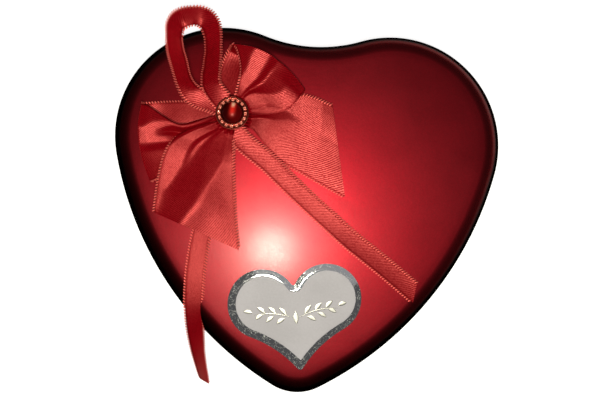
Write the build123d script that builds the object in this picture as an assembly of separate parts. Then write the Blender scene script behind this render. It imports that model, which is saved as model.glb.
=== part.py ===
"""Valentine heart box: a lacquered heart tin with a lift-off lid that carries a ribbon bow, a brooch
and a foil label.

Sizes are in millimetres and +Z is up. The origin is on the underside of the pressed bottom panel, at
the middle of the heart, and the heart's tip points along -Y.
"""

import math
import os

from build123d import *

# Heart outline of the lid, drawn as tangent arcs.
lobe_radius = 42.3
lobe_offset = 32.7
tip_radius = 18.6
tip_drop = 79.3
side_radius = 132.4
notch_radius = 57.6

# Tin.
sheet = 0.4
box_height = 50.0
crown_radius = 800.0
crown_y = 10.0
shoulder_radius = 7.0
lid_depth = 22.0
hem_width = 1.6
hem_round = 0.72
slip_gap = 0.35
seat_gap = 0.3
rim_width = 2.0
rim_round = 0.9
side_seam_width = 6.0
seam_height = 2.8
seam_gap = 0.05
seam_clear = 0.5
panel_step = 2.0
panel_inset = 9.0

# Bow.
ribbon_thick = 0.4
wide_points = 9
narrow_points = 3
narrow_width = 7.0
knot_x = -29.5
knot_y = 34.3
knot_radius = 3.5
knot_height = 12.4
knot_round = 0.7
glue_radius = 3.3
glue_height = 0.9
wire_radius = 0.25
wire_height = 5.0
wire_gap = 0.02

# Brooch.
brooch_radius = 6.15
brooch_plate = 1.0
plate_round = 0.4
brooch_rim = 0.4
brooch_rim_height = 1.0
collet_wall = 0.2
collet_height = 1.2
stone_radius = 3.95
stone_height = 3.3
stone_girdle = 0.8
stone_gap = 0.05
bead_count = 16
bead_radius = 0.72
bead_circle = 4.95
bead_lift = 0.54

# Label.
label_x = -0.8
label_y = -45.0
label_tilt = 7.9
label_lobe_radius = 13.4
label_lobe_x = 12.3
label_lobe_y = 10.2
label_lobe_end = -65.0
label_notch_radius = 0.8
label_tip_y = -17.0
label_tip_radius = 1.2
label_gap = 0.03
foil_thick = 0.25
face_thick = 0.2
face_border = 2.7
face_tip_radius = 0.3
face_shift = 0.45

# Where things stand.
lobe_line = (tip_drop + tip_radius - lobe_radius) / 2
crown_at = (0.0, crown_y, box_height - crown_radius)
hem_z = box_height - lid_depth
base_inset = hem_width + slip_gap

# Ribbon rows run from the knot outwards. Each row holds one point on either edge, as x, y and the
# height above the lid's crown, then the depth of the pleats and how far the row bows along its normal.
left_loop_rows = [
    ((-33.6, 37.0, 2.6), (-33.6, 31.6, 2.2), 0.5, 0.0),
    ((-40.0, 38.8, 2.6), (-38.6, 26.5, 1.9), 0.5, 0.0),
    ((-48.0, 39.3, 2.8), (-46.0, 19.0, 1.8), 0.4, 0.0),
    ((-56.5, 38.8, 3.3), (-53.5, 11.5, 1.9), 0.3, 0.0),
    ((-62.0, 38.0, 4.8), (-58.0, 8.4, 2.5), 0.2, -1.0),
    ((-63.6, 37.6, 6.8), (-59.1, 8.0, 3.3), 0.2, -2.2),
    ((-63.4, 37.0, 9.2), (-58.9, 8.0, 4.3), 0.2, -2.2),
    ((-60.8, 36.2, 11.6), (-56.4, 9.4, 5.3), 0.3, -1.2),
    ((-55.3, 33.4, 12.4), (-50.5, 14.5, 6.1), 0.7, 0.0),
    ((-49.0, 31.4, 12.0), (-45.0, 20.0, 6.8), 0.9, 0.0),
    ((-42.0, 32.4, 11.4), (-39.8, 25.8, 7.2), 0.8, 0.0),
    ((-33.7, 35.2, 10.2), (-33.7, 32.6, 7.4), 0.3, 0.0),
]
right_loop_rows = [
    ((-28.9, 39.0, 3.6), (-24.8, 35.4, 3.6), 0.4, 0.0),
    ((-34.0, 43.5, 3.8), (-19.0, 36.2, 3.6), 0.5, 0.0),
    ((-36.2, 48.5, 4.0), (-12.5, 37.6, 3.6), 0.4, 0.0),
    ((-35.0, 55.0, 4.6), (-7.0, 40.0, 3.8), 0.3, 0.6),
    ((-32.6, 60.0, 6.0), (-3.6, 43.8, 4.8), 0.2, 2.4),
    ((-31.2, 61.0, 8.6), (-2.4, 46.0, 6.6), 0.2, 3.8),
    ((-29.4, 59.2, 11.6), (-3.4, 45.2, 8.8), 0.3, 2.8),
    ((-27.4, 52.6, 13.0), (-9.6, 42.6, 10.6), 0.8, 0.6),
    ((-27.6, 46.5, 12.6), (-16.5, 39.8, 11.2), 0.8, 0.0),
    ((-28.9, 40.2, 11.4), (-24.4, 36.2, 10.8), 0.3, 0.0),
]
left_tail_rows = [
    ((-33.4, 30.6, 9.8), (-28.2, 29.9, 8.0), 0.3, 0.0),
    ((-40.0, 28.0, 10.8), (-28.6, 26.4, 7.0), 0.7, 0.0),
    ((-47.0, 26.0, 11.3), (-28.4, 23.0, 6.0), 0.9, 0.0),
    ((-52.0, 22.6, 11.0), (-28.1, 19.0, 5.0), 0.9, 0.0),
    ((-55.2, 15.5, 9.8), (-27.6, 12.5, 3.8), 0.8, 0.0),
    ((-56.4, 7.0, 7.8), (-26.8, 4.5, 2.6), 0.7, 0.0),
    ((-57.0, 0.8, 5.6), (-25.8, -5.5, 1.7), 0.6, 0.0),
    ((-57.5, -3.6, 4.2), (-24.0, -16.6, 1.1), 0.4, 0.0),
]
right_tail_rows = [
    ((-25.0, 35.2, 1.3), (-26.2, 31.0, 1.3), 0.2, 0.0),
    ((-19.5, 36.4, 1.3), (-23.0, 27.6, 1.5), 0.4, 0.0),
    ((-12.0, 39.2, 1.3), (-18.0, 23.6, 1.5), 0.4, 0.0),
    ((-4.5, 44.0, 1.4), (-10.5, 18.4, 1.1), 0.4, 0.0),
    ((1.0, 43.6, 1.3), (-1.0, 13.4, 0.8), 0.3, 0.0),
    ((5.0, 42.2, 1.0), (7.0, 9.4, 0.7), 0.2, 0.0),
    ((8.2, 41.1, 0.8), (15.1, 5.5, 0.6), 0.1, 0.0),
]

# Narrow ribbon rows hold the middle as x, y and the height above the lid's crown, then the tilt of
# the ribbon's left edge in degrees and how far the two edges are staggered along the run.
narrow_loop_rows = [
    (-33.4, 36.6, 11.6, 0, 0.0),
    (-37.8, 38.3, 12.2, 0, 0.0),
    (-41.8, 39.0, 12.6, -4, 0.0),
    (-45.4, 41.2, 13.2, -14, 0.0),
    (-47.6, 44.4, 14.8, -34, 0.0),
    (-49.0, 47.9, 17.6, -46, 0.0),
    (-50.0, 51.6, 22.0, -50, 0.0),
    (-51.0, 55.2, 27.0, -52, 0.0),
    (-51.4, 59.2, 31.6, -52, 0.0),
    (-50.9, 62.9, 35.2, -50, 0.0),
    (-48.2, 64.8, 37.2, -46, 0.0),
    (-44.6, 65.6, 37.8, -44, 0.0),
    (-41.2, 65.5, 37.4, -44, 0.0),
    (-38.6, 63.9, 35.0, -46, 0.0),
    (-37.4, 60.8, 31.8, -46, 0.0),
    (-37.2, 56.0, 27.0, -44, 0.0),
    (-37.6, 51.4, 21.2, -40, 0.0),
    (-38.2, 46.8, 16.2, -28, 0.0),
    (-37.6, 43.0, 14.2, -12, 0.0),
    (-32.8, 38.3, 12.9, 0, 0.0),
]
narrow_left_rows = [
    (-30.3, 30.1, 0.5, 0, 0.0),
    (-32.4, 18.0, 0.5, 0, 0.0),
    (-36.0, 2.0, 0.5, 0, 0.0),
    (-39.4, -12.0, 0.5, 0, 0.0),
    (-40.7, -25.0, 0.5, 0, 0.0),
    (-40.8, -34.0, 0.5, 0, 0.0),
    (-40.5, -40.0, 0.4, 0, 0.0),
    (-39.9, -46.0, -1.2, -4, 0.0),
    (-39.1, -52.0, -4.4, -12, 0.0),
    (-38.2, -58.0, -8.9, -24, 0.0),
    (-37.2, -63.4, -13.6, -34, 0.0),
    (-36.1, -68.6, -18.4, -40, 4.0),
]
narrow_right_rows = [
    (-29.6, 30.2, 4.6, 0, 0.0),
    (-28.2, 27.2, 4.2, 0, 0.0),
    (-25.6, 24.0, 3.5, 0, 0.0),
    (-21.5, 19.8, 2.9, 0, 0.0),
    (-16.8, 15.2, 2.2, 0, 0.0),
    (-10.0, 9.0, 1.3, 0, 0.0),
    (-2.1, 2.1, 0.7, 0, 0.0),
    (7.0, -5.4, 0.5, 0, 0.0),
    (16.0, -12.7, 0.5, 0, 0.0),
    (24.0, -18.4, 0.5, 0, 0.0),
    (32.0, -23.6, 0.5, 0, 0.0),
    (43.0, -30.2, 0.6, 0, 1.6),
]


def crown_z(x, y):
    """Height of the lid's crown over a point, carried on as a sphere past the shoulder."""
    return crown_at[2] + math.sqrt(crown_radius**2 - x**2 - (y - crown_y) ** 2)


def mirrored(point):
    """The same point on the other side of the heart's middle line."""
    return Vector(-point.X, point.Y, point.Z)


def on_circle(centre, radius, first, second):
    """The point of a circle midway between the directions of two of its points."""
    a = math.atan2(first.Y - centre.Y, first.X - centre.X)
    b = math.atan2(second.Y - centre.Y, second.X - centre.X)
    return centre + Vector(math.cos((a + b) / 2), math.sin((a + b) / 2)) * radius


def heart(inset=0.0):
    """The heart outline moved inwards by inset, as a face."""
    lobe_at = Vector(lobe_offset, lobe_line)
    tip_at = Vector(0, lobe_line - tip_drop)
    notch_rise = math.sqrt((lobe_radius + notch_radius) ** 2 - lobe_offset**2)
    notch_at = Vector(0, lobe_line + notch_rise)
    down = tip_at - lobe_at
    from_lobe = side_radius - lobe_radius
    from_tip = side_radius - tip_radius
    along = (down.length**2 + from_lobe**2 - from_tip**2) / (2 * down.length)
    across = math.sqrt(from_lobe**2 - along**2)
    unit = down.normalized()
    side_at = lobe_at + unit * along + Vector(unit.Y, -unit.X) * across

    notch = notch_radius + inset
    side = side_radius - inset
    lobe_start = notch_at + (lobe_at - notch_at).normalized() * notch
    lobe_end = side_at + (lobe_at - side_at).normalized() * side
    side_end = side_at + (tip_at - side_at).normalized() * side
    lobe_mid = on_circle(lobe_at, lobe_radius - inset, lobe_start, lobe_end)
    side_mid = on_circle(side_at, side, lobe_end, side_end)
    tip_mid = tip_at - Vector(0, tip_radius - inset)
    notch_mid = notch_at - Vector(0, notch)
    arcs = [
        ThreePointArc(mirrored(lobe_start), notch_mid, lobe_start),
        ThreePointArc(lobe_start, lobe_mid, lobe_end),
        ThreePointArc(lobe_end, side_mid, side_end),
        ThreePointArc(side_end, tip_mid, mirrored(side_end)),
        ThreePointArc(mirrored(side_end), mirrored(side_mid), mirrored(lobe_end)),
        ThreePointArc(mirrored(lobe_end), mirrored(lobe_mid), mirrored(lobe_start)),
    ]
    return make_face(arcs)


def prism(inset, bottom, top):
    """A heart prism between two heights."""
    return Pos(0, 0, bottom) * extrude(heart(inset), amount=top - bottom)


def band(outer_inset, inner_inset, bottom, top):
    """A heart-shaped wall between two insets and two heights."""
    return Pos(0, 0, bottom) * extrude(heart(outer_inset) - heart(inner_inset), amount=top - bottom)


def crowned(inset, bottom):
    """A heart block under the crown's sphere, with a rounded shoulder."""
    column = prism(inset, bottom, box_height + lid_depth)
    block = column & (Pos(*crown_at) * Sphere(crown_radius - inset))
    rim = block.faces().sort_by(Axis.Z)[-1].edges()
    return fillet(rim, shoulder_radius - inset)


def make_lid():
    """Drawn lid with crown, shoulder, skirt and a hem turned inwards."""
    shell = crowned(0.0, hem_z) - crowned(sheet, hem_z - hem_width)
    hem = band(0.0, hem_width, hem_z, hem_z + hem_width)
    hem = fillet(hem.edges().group_by(Axis.Z)[0], hem_round)
    trimmed = shell - prism(-hem_width, hem_z - hem_width, hem_z + hem_width / 2)
    return trimmed + hem


def rim_height():
    """Top of the base's rim, where it meets the inside of the lid's shoulder at the furthest point."""
    lobe_reach = math.hypot(lobe_offset, lobe_line - crown_y) + lobe_radius
    tip_reach = abs(lobe_line - tip_drop - crown_y) + tip_radius
    reach = max(lobe_reach, tip_reach) - shoulder_radius
    centre_z = crown_at[2] + math.sqrt((crown_radius - shoulder_radius) ** 2 - reach**2)
    room = shoulder_radius - sheet - seat_gap - rim_round
    sideways = shoulder_radius - base_inset - rim_round
    return centre_z + math.sqrt(room**2 - sideways**2) + rim_round


def make_base_wall():
    """Wall of the base with a rolled rim and a lock seam inside the notch."""
    foot = sheet + seam_gap
    rim_top = rim_height()
    wall = band(base_inset, base_inset + sheet, foot, rim_top - rim_width / 2)
    rim = band(base_inset, base_inset + rim_width, rim_top - rim_width, rim_top)
    rim = fillet(rim.edges().group_by(Axis.Z)[-1], rim_round)
    seam_room = Pos(0, lobe_line + lobe_radius, 0) * Box(side_seam_width, lobe_radius, 2 * box_height)
    seam_foot = panel_step + 2 * sheet + seam_clear
    lock_seam = band(base_inset + sheet, base_inset + 2 * sheet, seam_foot, rim_top - rim_width) & seam_room
    return wall + rim + lock_seam


def make_base_floor():
    """Bottom panel whose edge is folded round the foot of the wall, with its middle pressed down."""
    hook_outer = base_inset - seam_gap - sheet
    chuck_outer = base_inset + sheet + seam_gap
    chuck_inner = chuck_outer + sheet
    pad_inset = chuck_inner + panel_inset
    web = band(hook_outer, chuck_inner, 0, sheet)
    hook = band(hook_outer, hook_outer + sheet, 0, seam_height)
    chuck = band(chuck_outer, chuck_inner, 0, panel_step + sheet)
    ledge = band(chuck_outer, pad_inset, panel_step, panel_step + sheet)
    step = band(pad_inset - sheet, pad_inset, 0, panel_step + sheet)
    pad = prism(pad_inset - sheet, 0, sheet)
    return web + hook + chuck + ledge + step + pad


def placed(point):
    """A ribbon point in the frame, from its height above the crown."""
    x, y, height = point
    return Vector(x, y, crown_z(x, y) + height)


def ribbon(edges, waves, phase, points):
    """A ribbon between pairs of edge points, each with a pleat depth and a bow."""
    middles = [(a + b) * 0.5 for a, b, depth, bow in edges]
    sections = []
    last = len(edges) - 1
    for i, (a, b, depth, bow) in enumerate(edges):
        ahead = middles[min(i + 1, last)] - middles[max(i - 1, 0)]
        normal = ahead.cross(b - a).normalized()
        lower, upper = [], []
        for j in range(points):
            t = j / (points - 1)
            rise = depth * math.cos(2 * math.pi * waves * t + phase) + bow * 4 * t * (1 - t)
            spot = a + (b - a) * t
            upper.append(spot + normal * (rise + ribbon_thick / 2))
            lower.append(spot + normal * (rise - ribbon_thick / 2))
        sections.append(make_face(Polyline(*(upper + lower[::-1]), close=True)))
    return loft(sections, ruled=True)


def wide_ribbon(rows, waves, phase):
    """A wide pleated ribbon from rows of edge points."""
    edges = [(placed(a), placed(b), depth, bow) for a, b, depth, bow in rows]
    return ribbon(edges, waves, phase, wide_points)


def narrow_ribbon(rows):
    """A narrow flat ribbon from rows of middle points."""
    middles = [placed(row[:3]) for row in rows]
    last = len(rows) - 1
    edges = []
    for i, row in enumerate(rows):
        run = (middles[min(i + 1, last)] - middles[max(i - 1, 0)]).normalized()
        tilt = math.radians(row[3])
        up = (middles[i] - Vector(*crown_at)).normalized()
        flat = up.cross(run).normalized()
        across = flat * math.cos(tilt) + up * math.sin(tilt)
        across = (across - run * across.dot(run)).normalized() * (narrow_width / 2)
        edges.append((middles[i] + across + run * row[4], middles[i] - across - run * row[4], 0.0, 0.0))
    return ribbon(edges, 0, 0.0, narrow_points)


def label_outline(inset, tip_round):
    """A heart with hollow flanks moved inwards by inset, as a face."""
    end = math.radians(label_lobe_end)
    outwards = Vector(math.cos(end), math.sin(end))
    lobe_at = Vector(label_lobe_x, label_lobe_y)
    lobe_foot = lobe_at + outwards * label_lobe_radius
    chord = Vector(0, label_tip_y) - lobe_foot
    flank_radius = chord.length**2 / (2 * chord.dot(outwards))
    flank_at = lobe_foot + outwards * flank_radius
    notch_rise = math.sqrt((label_lobe_radius + label_notch_radius) ** 2 - label_lobe_x**2)
    notch_at = Vector(0, label_lobe_y + notch_rise)

    notch = label_notch_radius + inset
    flank = flank_radius + inset
    tip_at = Vector(0, flank_at.Y + math.sqrt((flank + tip_round) ** 2 - flank_at.X**2))
    lobe_start = notch_at + (lobe_at - notch_at).normalized() * notch
    lobe_end = lobe_at + outwards * (label_lobe_radius - inset)
    flank_end = tip_at + (flank_at - tip_at).normalized() * tip_round
    lobe_mid = on_circle(lobe_at, label_lobe_radius - inset, lobe_start, lobe_end)
    flank_mid = on_circle(flank_at, flank, lobe_end, flank_end)
    arcs = [
        ThreePointArc(mirrored(lobe_start), notch_at - Vector(0, notch), lobe_start),
        ThreePointArc(lobe_start, lobe_mid, lobe_end),
        ThreePointArc(lobe_end, flank_mid, flank_end),
        ThreePointArc(flank_end, tip_at - Vector(0, tip_round), mirrored(flank_end)),
        ThreePointArc(mirrored(flank_end), mirrored(flank_mid), mirrored(lobe_end)),
        ThreePointArc(mirrored(lobe_end), mirrored(lobe_mid), mirrored(lobe_start)),
    ]
    return make_face(arcs)


def on_lid(face, low, high):
    """A thin skin over the lid's crown, between two heights above it."""
    column = Pos(label_x, label_y, hem_z) * Rot(0, 0, label_tilt) * extrude(face, amount=2 * lid_depth)
    outer = Pos(*crown_at) * Sphere(crown_radius + high)
    inner = Pos(*crown_at) * Sphere(crown_radius + low)
    return (column & outer) - inner


def make_label_foil():
    return on_lid(label_outline(0.0, label_tip_radius), label_gap, label_gap + foil_thick)


def make_label_face():
    face = label_outline(face_border, face_tip_radius)
    low = label_gap + foil_thick
    return on_lid(Pos(face_shift, 0, 0) * face, low, low + face_thick)


knot_foot = crown_z(knot_x, knot_y) + glue_height
knot_top = knot_foot + knot_height


def make_glue_pad():
    """Dab of glue between the lid and the knot."""
    dab = Pos(knot_x, knot_y, knot_foot - 2 * glue_height) * Cylinder(
        glue_radius, 2 * glue_height, align=(Align.CENTER, Align.CENTER, Align.MIN)
    )
    return dab - Pos(*crown_at) * Sphere(crown_radius + label_gap)


def make_knot():
    """Gathered middle of the bow."""
    body = Pos(knot_x, knot_y, knot_foot) * Cylinder(
        knot_radius, knot_height, align=(Align.CENTER, Align.CENTER, Align.MIN)
    )
    return fillet(body.edges(), knot_round)


def make_tie_wire():
    """Two turns of thin wire that hold the gather."""
    ring = Torus(knot_radius + wire_radius + wire_gap, wire_radius)
    low = Pos(knot_x, knot_y, knot_foot + wire_height) * ring
    high = Pos(knot_x, knot_y, knot_foot + wire_height + 2 * (wire_radius + wire_gap)) * ring
    return Compound([low.solid(), high.solid()])


def disc(radius, bottom, top):
    """A round plate over the knot, between two heights above the knot's top."""
    return Pos(knot_x, knot_y, knot_top + bottom) * Cylinder(
        radius, top - bottom, align=(Align.CENTER, Align.CENTER, Align.MIN)
    )


def make_brooch_setting():
    """Plate with a rim and a collet round the middle stone."""
    plate = disc(brooch_radius, 0, brooch_plate)
    plate = fillet(plate.edges().group_by(Axis.Z)[0], plate_round)
    rim_top = brooch_plate + brooch_rim_height
    rim = disc(brooch_radius, brooch_plate, rim_top)
    rim = rim - disc(brooch_radius - brooch_rim, brooch_plate, rim_top)
    inner = stone_radius + stone_gap
    collet_top = brooch_plate + collet_height
    collet = disc(inner + collet_wall, brooch_plate, collet_top)
    collet = collet - disc(inner, brooch_plate, collet_top)
    return plate + rim + collet


def make_brooch_stone():
    """Domed stone with a short straight girdle."""
    dome_rise = stone_height - stone_girdle
    dome_radius = (stone_radius**2 + dome_rise**2) / (2 * dome_rise)
    top = knot_top + brooch_plate + stone_height
    dome = Pos(knot_x, knot_y, top - dome_radius) * Sphere(dome_radius)
    return disc(stone_radius, brooch_plate, brooch_plate + stone_height) & dome


def make_brooch_beads():
    """Ring of small stones, flat underneath."""
    layer = disc(brooch_radius, brooch_plate, brooch_plate + 2 * bead_radius)
    beads = []
    for i in range(bead_count):
        turn = 2 * math.pi * i / bead_count
        x = knot_x + bead_circle * math.cos(turn)
        y = knot_y + bead_circle * math.sin(turn)
        ball = Pos(x, y, knot_top + brooch_plate + bead_lift) * Sphere(bead_radius)
        beads.append((ball & layer).solid())
    return Compound(beads)


parts = {
    "lid_shell": make_lid(),
    "base_wall": make_base_wall(),
    "base_floor": make_base_floor(),
    "bow_loop_left": wide_ribbon(left_loop_rows, 2.0, math.pi),
    "bow_loop_right": wide_ribbon(right_loop_rows, 2.0, math.pi),
    "bow_tail_left": wide_ribbon(left_tail_rows, 2.5, 0.0),
    "bow_tail_right": wide_ribbon(right_tail_rows, 1.5, math.pi),
    "bow_knot": make_knot(),
    "narrow_loop": narrow_ribbon(narrow_loop_rows),
    "narrow_tail_left": narrow_ribbon(narrow_left_rows),
    "narrow_tail_right": narrow_ribbon(narrow_right_rows),
    "tie_wire": make_tie_wire(),
    "glue_pad": make_glue_pad(),
    "brooch_setting": make_brooch_setting(),
    "brooch_stone": make_brooch_stone(),
    "brooch_beads": make_brooch_beads(),
    "label_foil": make_label_foil(),
    "label_face": make_label_face(),
}

os.makedirs("parts", exist_ok=True)
for name, shape in parts.items():
    export_step(shape, f"parts/{name}.step")
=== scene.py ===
"""Looks of the valentine heart box: lacquered tin, satin bow, brooch and foil label.

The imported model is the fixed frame. Every piece is in metres, in that frame, with its place in its mesh.
"""

import math

import bpy
import numpy as np
from bpy.props import FloatProperty, FloatVectorProperty, IntProperty, PointerProperty
from mathutils import Matrix, Vector, noise


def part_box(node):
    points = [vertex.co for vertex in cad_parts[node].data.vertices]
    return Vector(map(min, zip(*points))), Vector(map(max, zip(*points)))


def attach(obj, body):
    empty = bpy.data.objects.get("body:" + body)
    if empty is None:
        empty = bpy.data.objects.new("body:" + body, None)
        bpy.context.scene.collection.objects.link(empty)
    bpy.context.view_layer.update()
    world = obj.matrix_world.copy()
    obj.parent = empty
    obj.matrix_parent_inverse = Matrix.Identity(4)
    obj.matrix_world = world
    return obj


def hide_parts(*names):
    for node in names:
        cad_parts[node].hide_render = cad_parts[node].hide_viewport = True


bl_info = {
    "name": "Valentine heart box",
    "version": (1, 0, 0),
    "blender": (4, 5, 0),
    "location": "View3D > Sidebar > Heart box",
    "description": "Dresses a heart-shaped gift tin with lacquer, a satin bow, a brooch and a foil label",
    "category": "Object",
}

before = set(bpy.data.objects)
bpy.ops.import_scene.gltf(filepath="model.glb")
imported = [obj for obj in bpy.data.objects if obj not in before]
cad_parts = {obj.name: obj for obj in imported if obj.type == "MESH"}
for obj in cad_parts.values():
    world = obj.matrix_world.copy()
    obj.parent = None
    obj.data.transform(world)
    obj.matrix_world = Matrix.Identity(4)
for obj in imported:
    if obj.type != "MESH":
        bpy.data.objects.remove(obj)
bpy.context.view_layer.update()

MM = 0.001


def length(name, description, default):
    """A length that a user may change."""
    return FloatProperty(name=name, description=description, default=default, unit="LENGTH", precision=5)


def angle(name, description, degrees):
    """A turn that a user may change."""
    return FloatProperty(name=name, description=description, default=math.radians(degrees), subtype="ANGLE")


def colour(name, description, default):
    """A colour that a user may change."""
    return FloatVectorProperty(
        name=name, description=description, default=default, size=3, subtype="COLOR", min=0.0, max=1.0
    )


class TinSizes(bpy.types.PropertyGroup):
    """Sizes and colours of the lid and the base."""

    lobe_radius: length("Lobe radius", "Radius of the heart's two lobes", 0.0423)
    lobe_offset: length("Lobe offset", "Distance of a lobe's centre from the middle line", 0.0327)
    lobe_line: length("Lobe line", "Place of the lobes' centres along the heart", 0.0278)
    tip_radius: length("Tip radius", "Radius of the heart's tip", 0.0186)
    tip_drop: length("Tip drop", "Distance of the tip's centre from the lobes' line", 0.0793)
    side_radius: length("Side radius", "Radius of the heart's flanks", 0.1324)
    notch_radius: length("Notch radius", "Radius of the hollow between the lobes", 0.0576)
    sheet: length("Sheet", "Thickness of the tinplate", 0.0004)
    height: length("Height", "Height of the closed tin at its crown", 0.05)
    crown_radius: length("Crown radius", "Radius of the lid's crown", 0.8)
    crown_y: length("Crown middle", "Place of the crown's highest point along the heart", 0.01)
    shoulder: length("Shoulder", "Radius of the lid's rounded edge", 0.007)
    lid_depth: length("Lid depth", "Depth of the lid from the crown to the hem", 0.022)
    skirt: length("Skirt", "Straight part of the lid's skirt over the hem", 0.014)
    hem: length("Hem", "Width of the curled hem", 0.0016)
    slip_gap: length("Slip gap", "Gap between the hem and the base", 0.00035)
    rim: length("Rim", "Width of the base's curled rim", 0.002)
    rim_top: length("Rim top", "Height of the base's curled rim", 0.04398)
    seam_height: length("Seam height", "Height of the folded seam at the foot", 0.0028)
    seam_gap: length("Seam gap", "Gap inside the folded seam", 0.00005)
    panel_step: length("Panel step", "Depth of the pressed bottom panel", 0.002)
    panel_inset: length("Panel inset", "Width of the ledge round the bottom panel", 0.009)
    lock_seam: length("Lock seam", "Width of the wall's seam", 0.006)
    lacquer: colour("Lacquer", "Colour of the red lacquer", (0.16, 0.0025, 0.0068))
    flake_slant: FloatVectorProperty(
        name="Flake slant",
        description="Lean of the metal flakes in the lid's lacquer",
        default=(-0.021, -0.031, 0.0),
        subtype="XYZ",
    )
    # Painted shade: the near-black colour that the lid's lacquer darkens to over its rounded edge.
    edge: colour("Edge", "Colour that the lacquer fades to at the lid's edge", (0.008, 0.0008, 0.001))


class BowSizes(bpy.types.PropertyGroup):
    """Sizes and colours of the bow."""

    thick: length("Thickness", "Thickness of the ribbons", 0.0004)
    selvedge: length("Selvedge", "How far the cloth stops short of its loops", 0.0005)
    wide_width: length("Wide width", "Width of the wide ribbon before it is gathered", 0.031)
    narrow_width: length("Narrow width", "Width of the narrow ribbon", 0.0076)
    picot_pitch: length("Picot pitch", "Distance between the loops along a ribbon's edge", 0.0011)
    picot_length: length("Picot length", "Length of one loop on a ribbon's edge", 0.0018)
    picot_thick: length("Picot thickness", "Thickness of one loop on a ribbon's edge", 0.0008)
    knot_x: length("Knot across", "Place of the knot across the heart", -0.0295)
    knot_y: length("Knot along", "Place of the knot along the heart", 0.0343)
    knot_radius: length("Knot radius", "Radius of the gathered knot", 0.0035)
    flutes: IntProperty(name="Flutes", description="Number of gathers round the knot", default=15, min=5)
    satin: colour("Satin", "Colour of the satin", (0.3, 0.0026, 0.0075))
    # Painted highlight: the loops' colour is much lighter than the satin, for the light that they catch.
    picot: colour("Picot", "Colour of the loops on the ribbons' edges", (0.85, 0.115, 0.1))


class BroochSizes(bpy.types.PropertyGroup):
    """Sizes and colours of the brooch."""

    radius: length("Radius", "Radius of the brooch", 0.00615)
    plate: length("Plate", "Thickness of the back plate", 0.001)
    rim: length("Rim", "Width of the rim", 0.0004)
    rim_height: length("Rim height", "Height of the rim over the plate", 0.001)
    collet: length("Collet", "Wall of the collet round the stone", 0.0002)
    collet_height: length("Collet height", "Height of the collet over the plate", 0.0012)
    stone_radius: length("Stone radius", "Radius of the domed stone", 0.00395)
    stone_gap: length("Stone gap", "Gap between the stone and its collet", 0.00005)
    stone_height: length("Stone height", "Height of the domed stone", 0.0033)
    girdle: length("Girdle", "Height of the stone's straight edge", 0.0008)
    bead_circle: length("Bead circle", "Radius of the ring of small stones", 0.00495)
    bead_radius: length("Bead radius", "Radius of a small stone", 0.00072)
    beads: IntProperty(name="Beads", description="Number of small stones", default=16, min=6)
    metal: colour("Metal", "Colour of the setting", (0.09, 0.012, 0.009))
    stone: colour("Stone", "Colour of the domed stone", (0.09, 0.0006, 0.001))
    # Painted highlights: the glow and the glint are light painted into the domed stone's colour.
    glow: colour("Glow", "Colour of the light inside the domed stone", (0.75, 0.02, 0.015))
    painted_glint: colour("Glint", "Colour of the brightest light inside the domed stone", (0.95, 0.5, 0.35))
    bead: colour("Bead", "Colour of the small stones", (0.95, 0.27, 0.19))


class LabelSizes(bpy.types.PropertyGroup):
    """Sizes and colours of the label."""

    x: length("Across", "Place of the label across the heart", -0.0008)
    y: length("Along", "Place of the label along the heart", -0.045)
    tilt: angle("Tilt", "Turn of the label", 7.9)
    lobe_radius: length("Lobe radius", "Radius of the label's lobes", 0.0134)
    lobe_x: length("Lobe across", "Distance of a lobe's centre from the label's middle line", 0.0123)
    lobe_y: length("Lobe along", "Place of the lobes' centres along the label", 0.0102)
    lobe_end: angle("Lobe end", "Turn at which a lobe meets its flank", -65)
    notch: length("Notch", "Radius of the hollow between the label's lobes", 0.0008)
    tip_y: length("Tip", "Place where the label's flanks would meet", -0.017)
    foil_tip: length("Foil tip", "Radius of the foil's tip", 0.0012)
    face_tip: length("Face tip", "Radius of the face's tip", 0.0003)
    shift: length("Face shift", "How far the face sits to the right on the foil", 0.00045)
    lift: length("Lift", "Gap under the foil", 0.00003)
    foil: length("Foil", "Thickness of the foil", 0.00025)
    face: length("Face", "Thickness of the paper face", 0.0002)
    border: length("Border", "Width of the foil round the face", 0.0027)
    paper: colour("Paper", "Colour of the face", (0.52, 0.49, 0.55))
    silver: colour("Silver", "Colour of the foil", (0.7, 0.7, 0.72))


class StageSizes(bpy.types.PropertyGroup):
    """Camera, light and floor."""

    camera_height: length("Camera height", "Height of the camera over the table", 0.47)
    camera_x: length("Camera across", "Place of the camera across the heart", -0.018)
    camera_y: length("Camera along", "Place of the camera along the heart", -0.014)
    view_width: length("View width", "Width of the picture at the lid", 0.2353)
    roll: angle("Roll", "Turn of the picture", 3.03)
    floor: colour("Floor", "Colour of the floor", (0.86, 0.86, 0.86))


class HeartBox(bpy.types.PropertyGroup):
    """All settings of the heart box."""

    tin: PointerProperty(type=TinSizes)
    bow: PointerProperty(type=BowSizes)
    brooch: PointerProperty(type=BroochSizes)
    label: PointerProperty(type=LabelSizes)
    stage: PointerProperty(type=StageSizes)


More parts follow.
